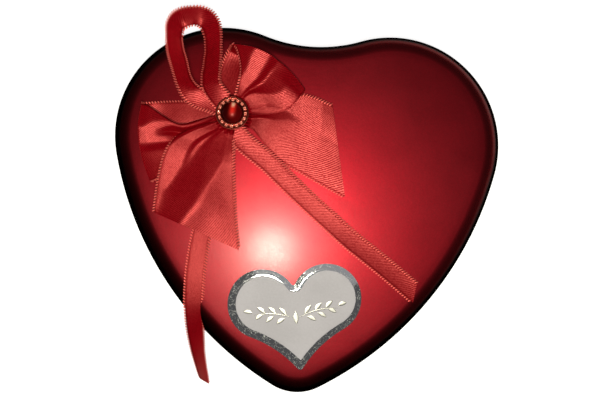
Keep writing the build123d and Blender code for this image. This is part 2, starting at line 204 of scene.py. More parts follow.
# Ribbon rows, in millimetres. Each row holds one point on either edge, as x, y and the height above the
# lid's crown, then how far the row bows along its normal.
LEFT_LOOP = [
    ((-33.6, 37.0, 2.6), (-33.6, 31.6, 2.2), 0.0),
    ((-40.0, 38.8, 2.6), (-38.6, 26.5, 1.9), 0.0),
    ((-48.0, 39.3, 2.8), (-46.0, 19.0, 1.8), 0.0),
    ((-56.5, 38.8, 3.3), (-53.5, 11.5, 1.9), 0.0),
    ((-62.0, 38.0, 4.8), (-58.0, 8.4, 2.5), -1.0),
    ((-63.6, 37.6, 6.8), (-59.1, 8.0, 3.3), -2.2),
    ((-63.4, 37.0, 9.2), (-58.9, 8.0, 4.3), -2.2),
    ((-60.8, 36.2, 11.4), (-56.4, 9.4, 5.3), -1.4),
    ((-55.3, 32.4, 11.6), (-50.5, 14.5, 6.0), -0.6),
    ((-49.2, 29.6, 10.4), (-45.0, 20.0, 6.2), 0.0),
    ((-42.0, 31.4, 9.4), (-39.8, 25.6, 6.2), 0.0),
    ((-33.7, 34.8, 9.0), (-33.7, 32.4, 6.8), 0.0),
]
RIGHT_LOOP = [
    ((-28.9, 39.0, 3.6), (-24.8, 35.6, 3.6), 0.0),
    ((-34.0, 43.5, 3.8), (-19.0, 36.6, 3.6), 0.0),
    ((-36.2, 48.5, 4.0), (-12.5, 38.2, 3.6), 0.0),
    ((-35.0, 55.0, 4.6), (-7.0, 40.4, 3.8), 0.6),
    ((-32.6, 60.0, 6.0), (-3.6, 43.6, 4.8), 2.4),
    ((-31.2, 61.0, 8.6), (-2.4, 44.8, 6.6), 3.8),
    ((-29.4, 59.2, 11.6), (-3.4, 43.0, 8.4), 3.2),
    ((-27.4, 52.6, 13.0), (-8.4, 37.2, 9.4), 1.4),
    ((-27.6, 46.5, 12.6), (-15.8, 35.0, 10.0), 0.6),
    ((-28.9, 40.2, 11.4), (-24.0, 35.0, 10.2), 0.0),
]
LEFT_TAIL = [
    ((-33.6, 31.6, 10.4), (-28.2, 29.9, 8.0), 0.0),
    ((-39.5, 30.2, 11.2), (-28.6, 26.4, 7.0), 0.0),
    ((-46.2, 27.6, 11.6), (-28.4, 23.0, 6.0), 0.0),
    ((-51.2, 24.0, 11.2), (-28.1, 19.0, 5.0), 0.0),
    ((-54.6, 17.0, 10.0), (-27.6, 12.5, 3.8), 0.0),
    ((-56.3, 8.0, 8.0), (-26.8, 4.5, 2.6), 0.0),
    ((-57.0, 1.4, 5.8), (-25.8, -5.5, 1.7), 0.0),
    ((-57.5, -3.6, 4.2), (-24.0, -16.6, 1.1), 0.0),
]
RIGHT_TAIL = [
    ((-25.0, 35.2, 1.3), (-26.2, 31.2, 1.3), 0.0),
    ((-19.5, 36.4, 1.3), (-21.6, 29.6, 1.6), 0.0),
    ((-12.0, 39.2, 1.3), (-17.2, 24.6, 1.7), 0.0),
    ((-4.5, 44.0, 1.4), (-10.5, 18.4, 1.1), 0.0),
    ((1.0, 43.6, 1.3), (-1.0, 13.4, 0.8), 0.0),
    ((5.0, 42.2, 1.0), (7.0, 9.4, 0.7), 0.0),
    ((8.2, 41.1, 0.8), (15.1, 5.5, 0.6), 0.0),
]

# Fold lines of the wide ribbons, from the first edge to the second. Each holds points along the ribbon: the
# share of its run, the share of its width and the height above the lid's crown in millimetres.
LEFT_LOOP_FOLDS = [
    [
        (0.5, 0, 9), (0.56, 0, 9.4), (0.64, 0, 10.4), (0.73, 0, 11),
        (0.78, 0, 10.8), (0.84, 0, 9.8), (1, 0, 9),
    ],
    [
        (0.5, 0.31, 12.9), (0.56, 0.31, 12.8), (0.61, 0.28, 12.6), (0.67, 0.2, 12.3),
        (0.73, 0.1, 11.6), (0.78, 0.03, 10.8), (1, 0.1, 8.9),
    ],
    [
        (0.5, 0.4, 12.4), (0.61, 0.38, 12.1), (0.67, 0.34, 11.5),
        (0.73, 0.24, 10.9), (0.78, 0.11, 10.5), (1, 0.2, 8.7),
    ],
    [
        (0.5, 0.43, 12.2), (0.61, 0.41, 11.9), (0.67, 0.38, 11.2),
        (0.73, 0.31, 8.8), (0.78, 0.25, 7.6), (1, 0.4, 8.2),
    ],
    [
        (0.5, 0.45, 12.1), (0.61, 0.44, 11.8), (0.67, 0.42, 11.1),
        (0.73, 0.38, 10.2), (0.78, 0.42, 8.8), (1, 0.6, 7.8),
    ],
    [
        (0.5, 0.54, 11.7), (0.61, 0.54, 11.3), (0.67, 0.53, 10.6),
        (0.73, 0.52, 9.8), (0.78, 0.55, 8.3), (1, 0.7, 7.5),
    ],
    [(0.5, 0.6, 9.8), (0.61, 0.6, 9.4), (0.67, 0.6, 8.8), (0.73, 0.61, 7.8), (0.78, 0.66, 7), (1, 0.85, 7)],
    [(0.5, 1, 3.4), (0.61, 1, 4), (0.73, 1, 4.8), (0.84, 1, 5.6), (1, 1, 6.8)],
]
RIGHT_LOOP_FOLDS = [
    [
        (0.5, 0, 9.4), (0.58, 0, 9.8), (0.66, 0, 10.8), (0.74, 0, 11.4),
        (0.8, 0, 11.7), (0.86, 0, 11.6), (0.92, 0, 11.2), (1, 0, 10.7),
    ],
    [
        (0.5, 0.28, 13.8), (0.58, 0.26, 14.2), (0.66, 0.2, 13.8), (0.74, 0.14, 13),
        (0.8, 0.07, 12.3), (0.86, 0.02, 11.7), (0.92, 0.01, 11.2), (1, 0.05, 10.6),
    ],
    [
        (0.5, 0.46, 12.9), (0.58, 0.46, 13.3), (0.66, 0.43, 12.8), (0.74, 0.36, 12),
        (0.8, 0.3, 11.5), (0.86, 0.25, 11), (0.92, 0.2, 10.6), (1, 0.2, 10.3),
    ],
    [
        (0.5, 0.53, 10), (0.58, 0.53, 10.4), (0.66, 0.5, 10.2), (0.74, 0.43, 9.8),
        (0.8, 0.36, 9.4), (0.86, 0.3, 9.4), (0.92, 0.25, 9.8), (1, 0.3, 10.1),
    ],
    [
        (0.5, 0.8, 8.2), (0.58, 0.8, 8.8), (0.63, 0.8, 9.6), (0.69, 0.78, 12), (0.74, 0.73, 11.9),
        (0.8, 0.6, 11.4), (0.86, 0.4, 10.9), (0.92, 0.31, 10.6), (1, 0.4, 10.1),
    ],
    [
        (0.5, 0.95, 7.2), (0.63, 0.95, 9), (0.69, 0.95, 11.5), (0.74, 0.97, 11.2),
        (0.8, 0.94, 10.6), (0.86, 0.7, 10.4), (0.92, 0.68, 10.1), (1, 0.7, 9.8),
    ],
    [
        (0.5, 0.965, 7.1), (0.63, 0.965, 8.9), (0.69, 0.965, 11.4), (0.74, 0.98, 11.1),
        (0.8, 0.955, 10.4), (0.86, 0.77, 9.8), (0.92, 0.76, 9.5), (1, 0.8, 9.6),
    ],
    [
        (0.5, 0.98, 7), (0.63, 0.98, 8.8), (0.69, 0.98, 11.3), (0.74, 0.99, 11),
        (0.8, 0.97, 10.3), (0.86, 0.87, 10), (0.92, 0.84, 9.8), (1, 0.86, 9.6),
    ],
    [
        (0.5, 1, 6.9), (0.58, 1, 7.6), (0.63, 1, 8.8), (0.69, 1, 11.2), (0.74, 1, 11),
        (0.8, 1, 10.2), (0.86, 1, 9.7), (0.92, 1, 9.5), (1, 1, 9.4),
    ],
]
LEFT_TAIL_FOLDS = [
    [(0, 0, 10.4), (0.2, 0, 9.6), (0.4, 0, 10.4), (0.5, 0, 11), (0.7, 0, 9.5), (0.8, 0, 8.8), (1, 0, 7.2)],
    [
        (0, 0.1, 10.5), (0.2, 0.15, 11.6), (0.4, 0.09, 11.6),
        (0.5, 0.03, 11.1), (0.7, 0.02, 9.4), (1, 0.01, 7.2),
    ],
    [
        (0, 0.4, 10.2), (0.2, 0.4, 11), (0.4, 0.32, 10.8), (0.5, 0.29, 10),
        (0.6, 0.28, 9.5), (0.7, 0.19, 8.8), (0.8, 0.07, 8.4), (1, 0.03, 7),
    ],
    [
        (0, 0.46, 9.9), (0.2, 0.46, 9.6), (0.4, 0.39, 9.3), (0.5, 0.35, 9),
        (0.6, 0.32, 8.9), (0.7, 0.23, 8.1), (0.8, 0.1, 8), (1, 0.05, 6.7),
    ],
    [
        (0, 0.52, 9.6), (0.2, 0.5, 9.5), (0.4, 0.46, 9.2), (0.5, 0.4, 8.8),
        (0.6, 0.36, 8.4), (0.7, 0.27, 7.5), (0.8, 0.14, 7.5), (1, 0.07, 6.4),
    ],
    [
        (0, 0.6, 9.4), (0.2, 0.57, 8.7), (0.4, 0.56, 7.9), (0.5, 0.53, 7.2), (0.6, 0.6, 4.4),
        (0.7, 0.54, 2.9), (0.8, 0.5, 1.4), (0.9, 0.38, 1.7), (1, 0.28, 1.8),
    ],
    [
        (0, 0.8, 8.6), (0.2, 0.85, 6.9), (0.4, 0.84, 5), (0.5, 0.83, 3.7), (0.6, 0.74, 2.8),
        (0.7, 0.62, 2), (0.8, 0.56, 1.2), (0.9, 0.42, 1.5), (1, 0.32, 1.6),
    ],
    [
        (0, 0.96, 8.1), (0.2, 0.97, 6.6), (0.4, 0.97, 4.5), (0.5, 0.97, 3.7),
        (0.6, 0.95, 3.3), (0.7, 0.8, 2.7), (0.8, 0.86, 2.4), (1, 0.96, 2.9),
    ],
    [
        (0, 1, 8), (0.2, 1, 6.4), (0.4, 1, 4.3), (0.5, 1, 3.7),
        (0.6, 1, 3.4), (0.7, 1, 3.1), (0.8, 1, 2.8), (1, 1, 3),
    ],
]
RIGHT_TAIL_FOLDS = [
    [
        (0, 0, 1.8), (0.2, 0, 1.7), (0.3, 0, 2), (0.4, 0, 2.5),
        (0.5, 0, 3.1), (0.6, 0, 3.5), (0.8, 0, 3.6), (1, 0, 3.3),
    ],
    [
        (0, 0.12, 1.7), (0.2, 0.12, 1.4), (0.3, 0.1, 1.5), (0.4, 0.17, 1.7),
        (0.5, 0.32, 2.1), (0.6, 0.34, 2.4), (0.8, 0.34, 2.4), (1, 0.36, 2.1),
    ],
    [
        (0, 0.4, 2), (0.2, 0.3, 2.4), (0.3, 0.36, 2.6), (0.4, 0.39, 2.5),
        (0.5, 0.39, 2.3), (0.6, 0.4, 2.2), (0.8, 0.4, 2.1), (1, 0.42, 1.8),
    ],
    [
        (0, 0.9, 1.7), (0.2, 0.85, 1.8), (0.3, 0.85, 1.7), (0.4, 0.85, 1.3),
        (0.5, 0.75, 1.3), (0.6, 0.75, 1.2), (0.8, 0.75, 1.1), (1, 0.75, 1),
    ],
    [(0, 1, 1.6), (0.2, 1, 1.5), (0.3, 1, 1.5), (0.4, 1, 1.1), (0.5, 1, 0.7), (0.6, 1, 0.6), (1, 1, 0.5)],
]

# Routes of the narrow ribbon, in millimetres: x, y, the height above the lid's crown, the tilt of the
# ribbon's left edge in degrees and how far the two edges are staggered along the run.
NARROW_LOOP = [
    (-33.4, 36.6, 11.6, 0, 0.0),
    (-37.8, 38.3, 12.2, 0, 0.0),
    (-41.8, 39.0, 12.6, -4, 0.0),
    (-45.4, 41.2, 13.2, -14, 0.0),
    (-47.6, 44.4, 14.8, -34, 0.0),
    (-49.0, 47.9, 17.6, -42, 0.0),
    (-50.0, 51.6, 22.0, -40, 0.0),
    (-51.0, 55.2, 27.0, -42, 0.0),
    (-51.4, 59.2, 31.6, -40, 0.0),
    (-50.9, 62.9, 35.2, -8, 0.0),
    (-48.2, 64.8, 37.2, 28, 0.0),
    (-44.6, 65.6, 37.8, 38, 0.0),
    (-41.2, 65.5, 37.4, 26, 0.0),
    (-38.6, 63.9, 35.0, -14, 0.0),
    (-37.4, 60.8, 31.8, -48, 0.0),
    (-37.2, 56.0, 27.0, -60, 0.0),
    (-37.6, 51.4, 21.2, -56, 0.0),
    (-38.2, 46.8, 16.2, -40, 0.0),
    (-37.6, 43.0, 14.2, -12, 0.0),
    (-32.8, 38.3, 12.9, 0, 0.0),
]
NARROW_LEFT = [
    (-30.3, 30.1, 0.5, 0, 0.0),
    (-32.4, 18.0, 0.5, 0, 0.0),
    (-36.0, 2.0, 0.5, 0, 0.0),
    (-39.4, -12.0, 0.5, 0, 0.0),
    (-40.7, -25.0, 0.5, -4, 0.0),
    (-40.8, -34.0, 0.5, -12, 0.0),
    (-40.5, -40.0, 0.4, -18, 0.0),
    (-39.9, -46.0, -1.2, -30, 0.0),
    (-39.1, -52.0, -4.4, -48, 0.0),
    (-38.2, -58.0, -8.9, -64, 0.6),
    (-37.2, -63.4, -13.6, -73, 2.6),
    (-35.9, -69.6, -19.3, -78, 5.9),
]
NARROW_RIGHT = [
    (-29.6, 30.2, 4.6, 0, 0.0),
    (-27.6, 27.6, 4.2, 0, 0.0),
    (-24.6, 24.5, 3.8, 0, 0.0),
    (-19.8, 21.0, 3.4, 2, 0.0),
    (-14.7, 17.4, 2.8, 6, 0.0),
    (-8.2, 11.4, 1.8, 7, 0.0),
    (-0.1, 4.4, 0.9, 5, 0.0),
    (8.9, -2.9, 0.7, 4, 0.0),
    (17.9, -10.4, 0.5, 0, 0.0),
    (26.0, -16.0, 0.5, 0, 0.0),
    (34.0, -21.8, 0.5, 0, 0.0),
    (43.9, -29.4, 0.6, 0, -1.8),
]

# How the wide ribbons lie. A loop's back leaf takes up the first part of its run and then blends into the
# front leaf. The front's gathers fade out round the knot, and the back's lie under the second edge.
WIDE_STEPS = (120, 65)
BACK_LEAF = 0.44
LEAF_BLEND = 0.08
BACK_DIP = 0.0016
GATHER_REACH = 0.0075
GATHER_FADE = 0.002
FRONT_GATHER = 0.7
BACK_GATHER = 1.6
BACK_START = 0.4
BACK_FADE = 0.15
CREASE_SIZE = 0.009
CREASE_DEPTH = 0.00025
RIBBON_GAP = 0.0004

# How the narrow ribbons lie: points for each span of the route, points across and how hollow they are.
NARROW_STEPS = (10, 9)
NARROW_HOLLOW = 0.00018

# Leaves of the label's spray, in millimetres: where each starts on the right half, its length and its turn.
SPRAY = [
    (3.4, 5.0, 4.4, 50),
    (4.2, 4.2, 4.0, -30),
    (7.4, 5.9, 4.2, 46),
    (8.4, 5.2, 3.8, -32),
    (11.6, 6.6, 4.0, 42),
    (12.6, 6.2, 3.4, -28),
    (16.4, 7.2, 3.6, 14),
]
LABEL_MIDDLE = 0.003
LEAF_RISE = 0.00005

# How the foil is worked: its rounded edge, how far its border runs under the face, how far its middle is
# pressed down, its crinkles and the curl at its tip.
FOIL_ROUND = 0.0001
FOIL_TUCK = 0.0003
FOIL_SINK = 0.00005
CRINKLE_SIZE = 0.0011
CRINKLE_DEPTH = 0.000006
CURL_RISE = 0.00025
CURL_REACH = 0.0016
CURL_FADE = 0.003

# Points of a mesh closer than this are one point.
MERGE_GAP = 2e-6
FULL_TURN = 2 * math.pi


def settings():
    """The settings of this scene's heart box."""
    return bpy.context.scene.heart_box


def deselect():
    """Leaves edit mode and selects nothing."""
    if bpy.context.object and bpy.context.object.mode != "OBJECT":
        bpy.ops.object.mode_set(mode="OBJECT")
    bpy.ops.object.select_all(action="DESELECT")


def only(piece):
    """Selects one piece and makes it active."""
    deselect()
    piece.select_set(True)
    bpy.context.view_layer.objects.active = piece


def named(name):
    """Names the piece that an operator has just added."""
    piece = bpy.context.object
    piece.name = name
    piece.data.name = name
    return piece


def linked(name, data):
    """A new object in the scene that holds this data."""
    holder = bpy.data.objects.new(name, data)
    bpy.context.scene.collection.objects.link(holder)
    return holder


def lofted(name, rows):
    """A mesh through rows of points, shaped from a grid."""
    deselect()
    bpy.ops.mesh.primitive_grid_add(
        x_subdivisions=len(rows[0]) - 1, y_subdivisions=len(rows) - 1, size=1.0, location=(0, 0, 0)
    )
    piece = named(name)
    piece.data.vertices.foreach_set("co", np.asarray(rows, np.float32).ravel())
    piece.data.update()
    return piece


def paint(piece, values, name):
    """Stores one number for every point of a lofted piece, before its seam is merged."""
    attribute = piece.data.attributes.new(name, "FLOAT", "POINT")
    attribute.data.foreach_set("value", np.asarray(values, np.float32).ravel())


def closed(piece):
    """Merges the seam and the poles of a lofted piece and points its faces outwards."""
    only(piece)
    bpy.ops.object.mode_set(mode="EDIT")
    bpy.ops.mesh.select_all(action="SELECT")
    bpy.ops.mesh.remove_doubles(threshold=MERGE_GAP)
    bpy.ops.mesh.normals_make_consistent(inside=False)
    bpy.ops.object.mode_set(mode="OBJECT")
    return piece


def smooth(piece, degrees=35.0):
    """Shades a piece smooth, apart from edges that turn by more than an angle."""
    only(piece)
    bpy.ops.object.shade_smooth_by_angle(angle=math.radians(degrees))
    return piece


def shell(piece, materials, degrees=35.0, second_from=None):
    """Finishes a lofted piece. Its faces from a given one on take the second material."""
    for material in materials:
        piece.data.materials.append(material)
    if second_from is not None:
        slots = np.zeros(len(piece.data.polygons), np.int32)
        slots[second_from:] = 1
        piece.data.polygons.foreach_set("material_index", slots)
    closed(piece)
    return smooth(piece, degrees)


def modified(piece, kind, **values):
    """Adds a modifier with these values and applies it."""
    only(piece)
    modifier = piece.modifiers.new(kind.title(), kind)
    for name, value in values.items():
        setattr(modifier, name, value)
    bpy.ops.object.modifier_apply(modifier=modifier.name)
    return piece


def bevelled(piece, width, segments, degrees):
    """Rounds the edges of a piece that turn by more than an angle."""
    limit = math.radians(degrees)
    return modified(piece, "BEVEL", width=width, segments=segments, limit_method="ANGLE", angle_limit=limit)


def joined(first, *others):
    """One piece out of several."""
    only(first)
    for other in others:
        other.select_set(True)
    bpy.ops.object.join()
    return first


def settled(piece):
    """Puts the piece's place and turn into its mesh."""
    only(piece)
    bpy.ops.object.transform_apply(location=True, rotation=True, scale=True)
    return piece


def hand_over(piece, body, slot, *nodes):
    """Lets a piece ride on a body and stand for CAD nodes. Its slot is not used."""
    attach(piece, body)
    if nodes:
        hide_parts(*nodes)


def unit(vectors):
    """Vectors brought to a length of one."""
    return vectors / np.linalg.norm(vectors, axis=-1, keepdims=True)


def across(vectors, run):
    """Unit vectors with their share along a run taken out."""
    return unit(vectors - run * np.sum(vectors * run, axis=1, keepdims=True))


def run_lengths(line):
    """Distance of each point of a line from its start, along the line."""
    return np.concatenate([[0.0], np.cumsum(np.linalg.norm(np.diff(line, axis=0), axis=1))])


def read_along(stops, steps, values):
    """Points or directions of a line, read at stops between its own distances."""
    return np.stack([np.interp(stops, steps, values[:, k]) for k in range(3)], axis=1)


def through(values, places):
    """A smooth line through a list of values, read at fractions from 0 to 1 of the list."""
    values = np.asarray(values, float)
    last = len(values) - 1
    at = np.clip(np.asarray(places) * last, 0, last - 1e-9)
    index = at.astype(int)
    f = (at - index).reshape((-1,) + (1,) * (values.ndim - 1))
    before = values[np.maximum(index - 1, 0)]
    start = values[index]
    end = values[index + 1]
    after = values[np.minimum(index + 2, last)]
    return 0.5 * (
        2 * start
        + (end - before) * f
        + (2 * before - 5 * start + 4 * end - after) * f**2
        + (3 * start - before - 3 * end + after) * f**3
    )


def heading(start, end):
    """The turn that points from one spot to another."""
    return math.atan2(end[1] - start[1], end[0] - start[0])


def arc_points(arcs):
    """Points and spokes along arcs, each given by its centre, radius, first turn, last turn and steps."""
    points, spokes = [], []
    for centre, radius, first, last, steps in arcs:
        turns = np.linspace(first, last, steps + 1)[:-1]
        spokes.append(np.stack([np.cos(turns), np.sin(turns)], axis=1))
        points.append(centre + spokes[-1] * radius)
    return points, spokes


def circle_row(x, y, z, radius, turns):
    """One level ring of points round a spot."""
    return np.column_stack([x + radius * np.cos(turns), y + radius * np.sin(turns), np.full(len(turns), z)])


def crown_z(x, y, lift=0.0):
    """Height of the lid's crown over a point, with a lift along its radius."""
    tin = settings().tin
    rise = (tin.crown_radius + lift) ** 2 - x**2 - (y - tin.crown_y) ** 2
    return tin.height - tin.crown_radius + np.sqrt(rise)


def heart_ring(inset):
    """Points and outward directions round the heart, from the notch clockwise, with the first repeated."""
    tin = settings().tin
    lobe = np.array([tin.lobe_offset, tin.lobe_line])
    tip = np.array([0.0, tin.lobe_line - tin.tip_drop])
    notch_rise = math.sqrt((tin.lobe_radius + tin.notch_radius) ** 2 - tin.lobe_offset**2)
    notch = np.array([0.0, tin.lobe_line + notch_rise])
    down = tip - lobe
    reach = np.linalg.norm(down)
    from_lobe = tin.side_radius - tin.lobe_radius
    from_tip = tin.side_radius - tin.tip_radius
    along = (reach**2 + from_lobe**2 - from_tip**2) / (2 * reach)
    aside = math.sqrt(from_lobe**2 - along**2)
    ahead = down / reach
    side = lobe + ahead * along + np.array([ahead[1], -ahead[0]]) * aside
    points, outward = arc_points(
        [
            (notch, tin.notch_radius + inset, -math.pi / 2, heading(notch, lobe), 10),
            (lobe, tin.lobe_radius - inset, heading(lobe, notch), heading(side, lobe), 52),
            (side, tin.side_radius - inset, heading(side, lobe), heading(side, tip), 26),
            (tip, tin.tip_radius - inset, heading(side, tip), -math.pi / 2, 14),
        ]
    )
    outward[0] = -outward[0]
    points = np.concatenate(points + [[tip - [0.0, tin.tip_radius - inset]]])
    outward = np.concatenate(outward + [[[0.0, -1.0]]])
    flip = np.array([-1.0, 1.0])
    return np.concatenate([points, points[-2::-1] * flip]), np.concatenate([outward, outward[-2::-1] * flip])


def heart_row(inset, z):
    """One ring of the heart at a height."""
    points = heart_ring(inset)[0]
    return np.column_stack([points, np.full(len(points), z)])


def shrunk(row, share):
    """A ring drawn in towards the middle of the heart."""
    middle = np.array([0.0, settings().tin.crown_y])
    return np.column_stack([middle + (row[:, :2] - middle) * share, row[:, 2]])


def curl_rows(inset, z, radius, way):
    """Rings round a curled edge from its outside, three quarters round. It starts upwards where way is 1."""
    rows = []
    for turn in np.linspace(0.0, 0.75 * FULL_TURN, 16)[1:]:
        rows.append(heart_row(inset + radius * (1 - math.cos(turn)), z + radius * (1 + way * math.sin(turn))))
    return rows


def lid_skin(offset):
    """Rings from the middle of the lid to the top of its skirt, offset inwards from the outer face."""
    tin = settings().tin
    base = tin.height - tin.crown_radius
    flat, outward = heart_ring(tin.shoulder)
    rise = (tin.crown_radius - tin.shoulder) ** 2 - flat[:, 0] ** 2 - (flat[:, 1] - tin.crown_y) ** 2
    ball = np.column_stack([flat, base + np.sqrt(rise)])
    out = np.column_stack([outward, np.zeros(len(outward))])
    up = unit(ball - np.array([0.0, tin.crown_y, base]))
    lean = np.sum(up * out, axis=1, keepdims=True)
    level = unit(up - out * lean)
    furthest = np.arccos(lean)
    shoulder = []
    for share in np.linspace(1.0, 0.0, 15):
        turn = furthest * share
        shoulder.append(ball + (out * np.cos(turn) + level * np.sin(turn)) * (tin.shoulder - offset))
    crown = []
    for share in np.linspace(0.0, 1.0, 22)[:-1]:
        row = shrunk(shoulder[0], share)
        row[:, 2] = crown_z(row[:, 0], row[:, 1], -offset)
        crown.append(row)
    return crown + shoulder


def make_lid(materials):
    """The lid's two skins and its curled hem. Bare tin starts on the last rings of the curl."""
    tin = settings().tin
    half = tin.hem / 2
    hem_z = tin.height - tin.lid_depth
    skirt_top = hem_z + half + tin.skirt
    bare_rings = 4
    outer = lid_skin(0.0)
    outer += [heart_row(0.0, z) for z in np.linspace(skirt_top, hem_z + half, 4)]
    outer += curl_rows(0.0, hem_z, half, -1)
    rows = outer + [heart_row(tin.sheet, hem_z + tin.hem)] + lid_skin(tin.sheet)[::-1]
    outline = heart_ring(0.0)[0]
    distance = []
    for row in rows:
        below = np.clip(skirt_top - row[:, 2], 0.0, None)
        distance.append(np.linalg.norm(row[:, :2] - outline, axis=1) + below)
    lid = lofted("lid_shell_lacquered", rows)
    # The distance from the outline drives the painted shade over the lid's rounded edge.
    paint(lid, distance, "rim_distance")
    shell(lid, materials, second_from=(len(outer) - bare_rings) * (len(rows[0]) - 1))
    hand_over(lid, "lid", "lid_lacquer", "lid_shell")


def make_lock_seam(inset, top, material):
    """The strip inside the notch where the ends of the wall are locked together."""
    tin = settings().tin
    flat = heart_ring(inset)[0]
    strip = flat[(np.abs(flat[:, 0]) < tin.lock_seam / 2) & (flat[:, 1] > tin.lobe_line)]
    strip = strip[np.argsort(strip[:, 0])]
    rows = []
    for z in np.linspace(tin.panel_step + 3 * tin.sheet, top, 4):
        rows.append(np.column_stack([strip, np.full(len(strip), z)]))
    seam = lofted("lock_seam", rows)
    seam.data.materials.append(material)
    modified(seam, "SOLIDIFY", thickness=tin.sheet, offset=0.0)
    modified(seam, "BEVEL", width=0.3 * tin.sheet, segments=2)
    return smooth(seam)


def make_wall(materials):
    """The wall of the base with its curled rim. Bare tin starts on the inner half of the curl."""
    tin = settings().tin
    inset = tin.hem + tin.slip_gap
    foot = tin.sheet + tin.seam_gap
    half = tin.rim / 2
    low = tin.rim_top - tin.rim
    lacquered_rings = 10
    outer = [heart_row(inset, z) for z in np.linspace(foot, tin.rim_top - half, 6)]
    inner = [heart_row(inset + tin.sheet, z) for z in np.linspace(low, foot, 6)]
    rows = outer + curl_rows(inset, low, half, 1) + inner + outer[:1]
    wall = lofted("base_wall_lacquered", rows)
    shell(wall, materials, second_from=(len(outer) + lacquered_rings) * (len(rows[0]) - 1))
    joined(wall, make_lock_seam(inset + tin.sheet, low, materials[1]))
    hand_over(wall, "base", "base_lacquer", "base_wall")


def make_panel(material):
    """The bottom panel, folded round the foot of the wall and pressed down in the middle."""
    tin = settings().tin
    inset = tin.hem + tin.slip_gap
    hook = inset - tin.seam_gap - tin.sheet
    chuck = inset + tin.sheet + tin.seam_gap
    pad = chuck + tin.sheet + tin.panel_inset
    ledge = tin.panel_step + tin.sheet
    under = [
        (hook + tin.sheet, tin.seam_height),
        (hook, tin.seam_height),
        (hook, 0.0),
        (chuck + tin.sheet, 0.0),
        (chuck + tin.sheet, tin.panel_step),
        (pad - tin.sheet, tin.panel_step),
        (pad - tin.sheet, 0.0),
    ]
    over = [
        (pad, tin.sheet),
        (pad, ledge),
        (chuck, ledge),
        (chuck, tin.sheet),
        (hook + tin.sheet, tin.sheet),
        (hook + tin.sheet, tin.seam_height),
    ]
    shares = (0.7, 0.4, 0.0)
    rows = [heart_row(*spot) for spot in under]
    rows += [shrunk(heart_row(*under[-1]), share) for share in shares]
    rows += [shrunk(heart_row(*over[0]), share) for share in reversed(shares)]
    rows += [heart_row(*spot) for spot in over]
    panel = lofted("base_floor_tin", rows)
    panel.data.materials.append(material)
    closed(panel)
    bevelled(panel, 0.4 * tin.sheet, 3, 40.0)
    smooth(panel)
    hand_over(panel, "base", "bare_tin", "base_floor")


def placed(point):
    """A ribbon point in metres, from its height above the crown in millimetres."""
    x, y, height = (value * MM for value in point)
    return np.array([x, y, crown_z(x, y) + height])


def softened(heights):
    """Heights with their corners rounded, along the ribbon and across it."""
    weights = np.array([1.0, 4.0, 6.0, 4.0, 1.0]) / 16.0
    for axis in (0, 1):
        pad = [(2, 2) if axis == k else (0, 0) for k in (0, 1)]
        padded = np.pad(heights, pad, mode="reflect", reflect_type="odd")
        count = heights.shape[axis]
        heights = sum(w * padded.take(range(k, k + count), axis=axis) for k, w in enumerate(weights))
    return heights


def fold_heights(folds, s, t):
    """Heights of a ribbon above the crown, drawn between its fold lines."""
    lines = [np.array(line) for line in folds]
    heights = np.empty((len(s), len(t)))
    for row, place in zip(heights, s):
        spots = [np.interp(place, line[:, 0], line[:, 1]) for line in lines]
        rises = [np.interp(place, line[:, 0], line[:, 2]) for line in lines]
        row[:] = np.interp(t, spots, rises)
    return softened(softened(heights)) * MM


def ripple(points, size, depth, seed):
    """Small uneven waves over a surface."""
    heights = np.empty(points.shape[:-1])
    for place in np.ndindex(heights.shape):
        heights[place] = noise.noise(Vector(points[place]) / size + Vector((seed, 0.0, 0.0)))
    return heights * depth


def wide_surface(rows, folds, loop, gathers, seed):
    """Points of a wide ribbon, along its run and across it."""
    bow = settings().bow
    s = np.linspace(0.0, 1.0, WIDE_STEPS[0])
    margin = bow.selvedge / bow.wide_width
    t = np.linspace(margin, 1.0 - margin, WIDE_STEPS[1])
    first = through([placed(row[0]) for row in rows], s)
    second = through([placed(row[1]) for row in rows], s)
    swell = through([row[2] * MM for row in rows], s)
    points = first[:, None] * (1 - t)[:, None] + second[:, None] * t[:, None]
    normal = unit(np.cross(np.gradient(points, axis=0), np.gradient(points, axis=1)))
    points = points + normal * (swell[:, None] * 4 * t * (1 - t))[..., None]
    crown = crown_z(points[..., 0], points[..., 1])
    front = np.clip((s - BACK_LEAF) / LEAF_BLEND, 0.0, 1.0) if loop else np.ones(len(s))
    front = (front**2 * (3 - 2 * front))[:, None]
    points[..., 2] -= BACK_DIP * (1.0 - front) * np.clip(s / BACK_LEAF, 0.0, 1.0)[:, None] ** 2
    points[..., 2] += front * (crown + fold_heights(folds, s, t) - points[..., 2])
    drawn = np.linalg.norm(np.diff(points, axis=1), axis=2).sum(axis=1)[:, None]
    fullness = np.sqrt(np.clip(bow.wide_width**2 - drawn**2, 0.0, None)) / (4 * gathers)
    reach = np.hypot(points[..., 0] - bow.knot_x, points[..., 1] - bow.knot_y)
    near = np.clip((GATHER_REACH - reach) / GATHER_FADE, 0.0, 1.0)
    under = np.clip((t - BACK_START) / BACK_FADE, 0.0, 1.0)
    share = FRONT_GATHER * near * front + BACK_GATHER * under * (1.0 - front)
    points[..., 2] += share * fullness * np.cos(FULL_TURN * gathers * t + seed)
    points[..., 2] += ripple(points, CREASE_SIZE, CREASE_DEPTH, seed)
    points[..., 2] = np.maximum(points[..., 2], crown + RIBBON_GAP)
    return points


def measure_uv(piece, points):
    """Sets the piece's map to metres along and across the ribbon."""
    along = run_lengths(points[:, points.shape[1] // 2])
    width = np.linalg.norm(np.diff(points, axis=1), axis=2).sum(axis=1).max()
    aside = np.linspace(0.0, width, points.shape[1])
    spots = np.stack(np.meshgrid(aside, along), axis=-1).reshape(-1, 2)
    corners = np.zeros(len(piece.data.loops), np.int32)
    piece.data.loops.foreach_get("vertex_index", corners)
    piece.data.uv_layers.active.data.foreach_set("uv", spots[corners].astype(np.float32).ravel())


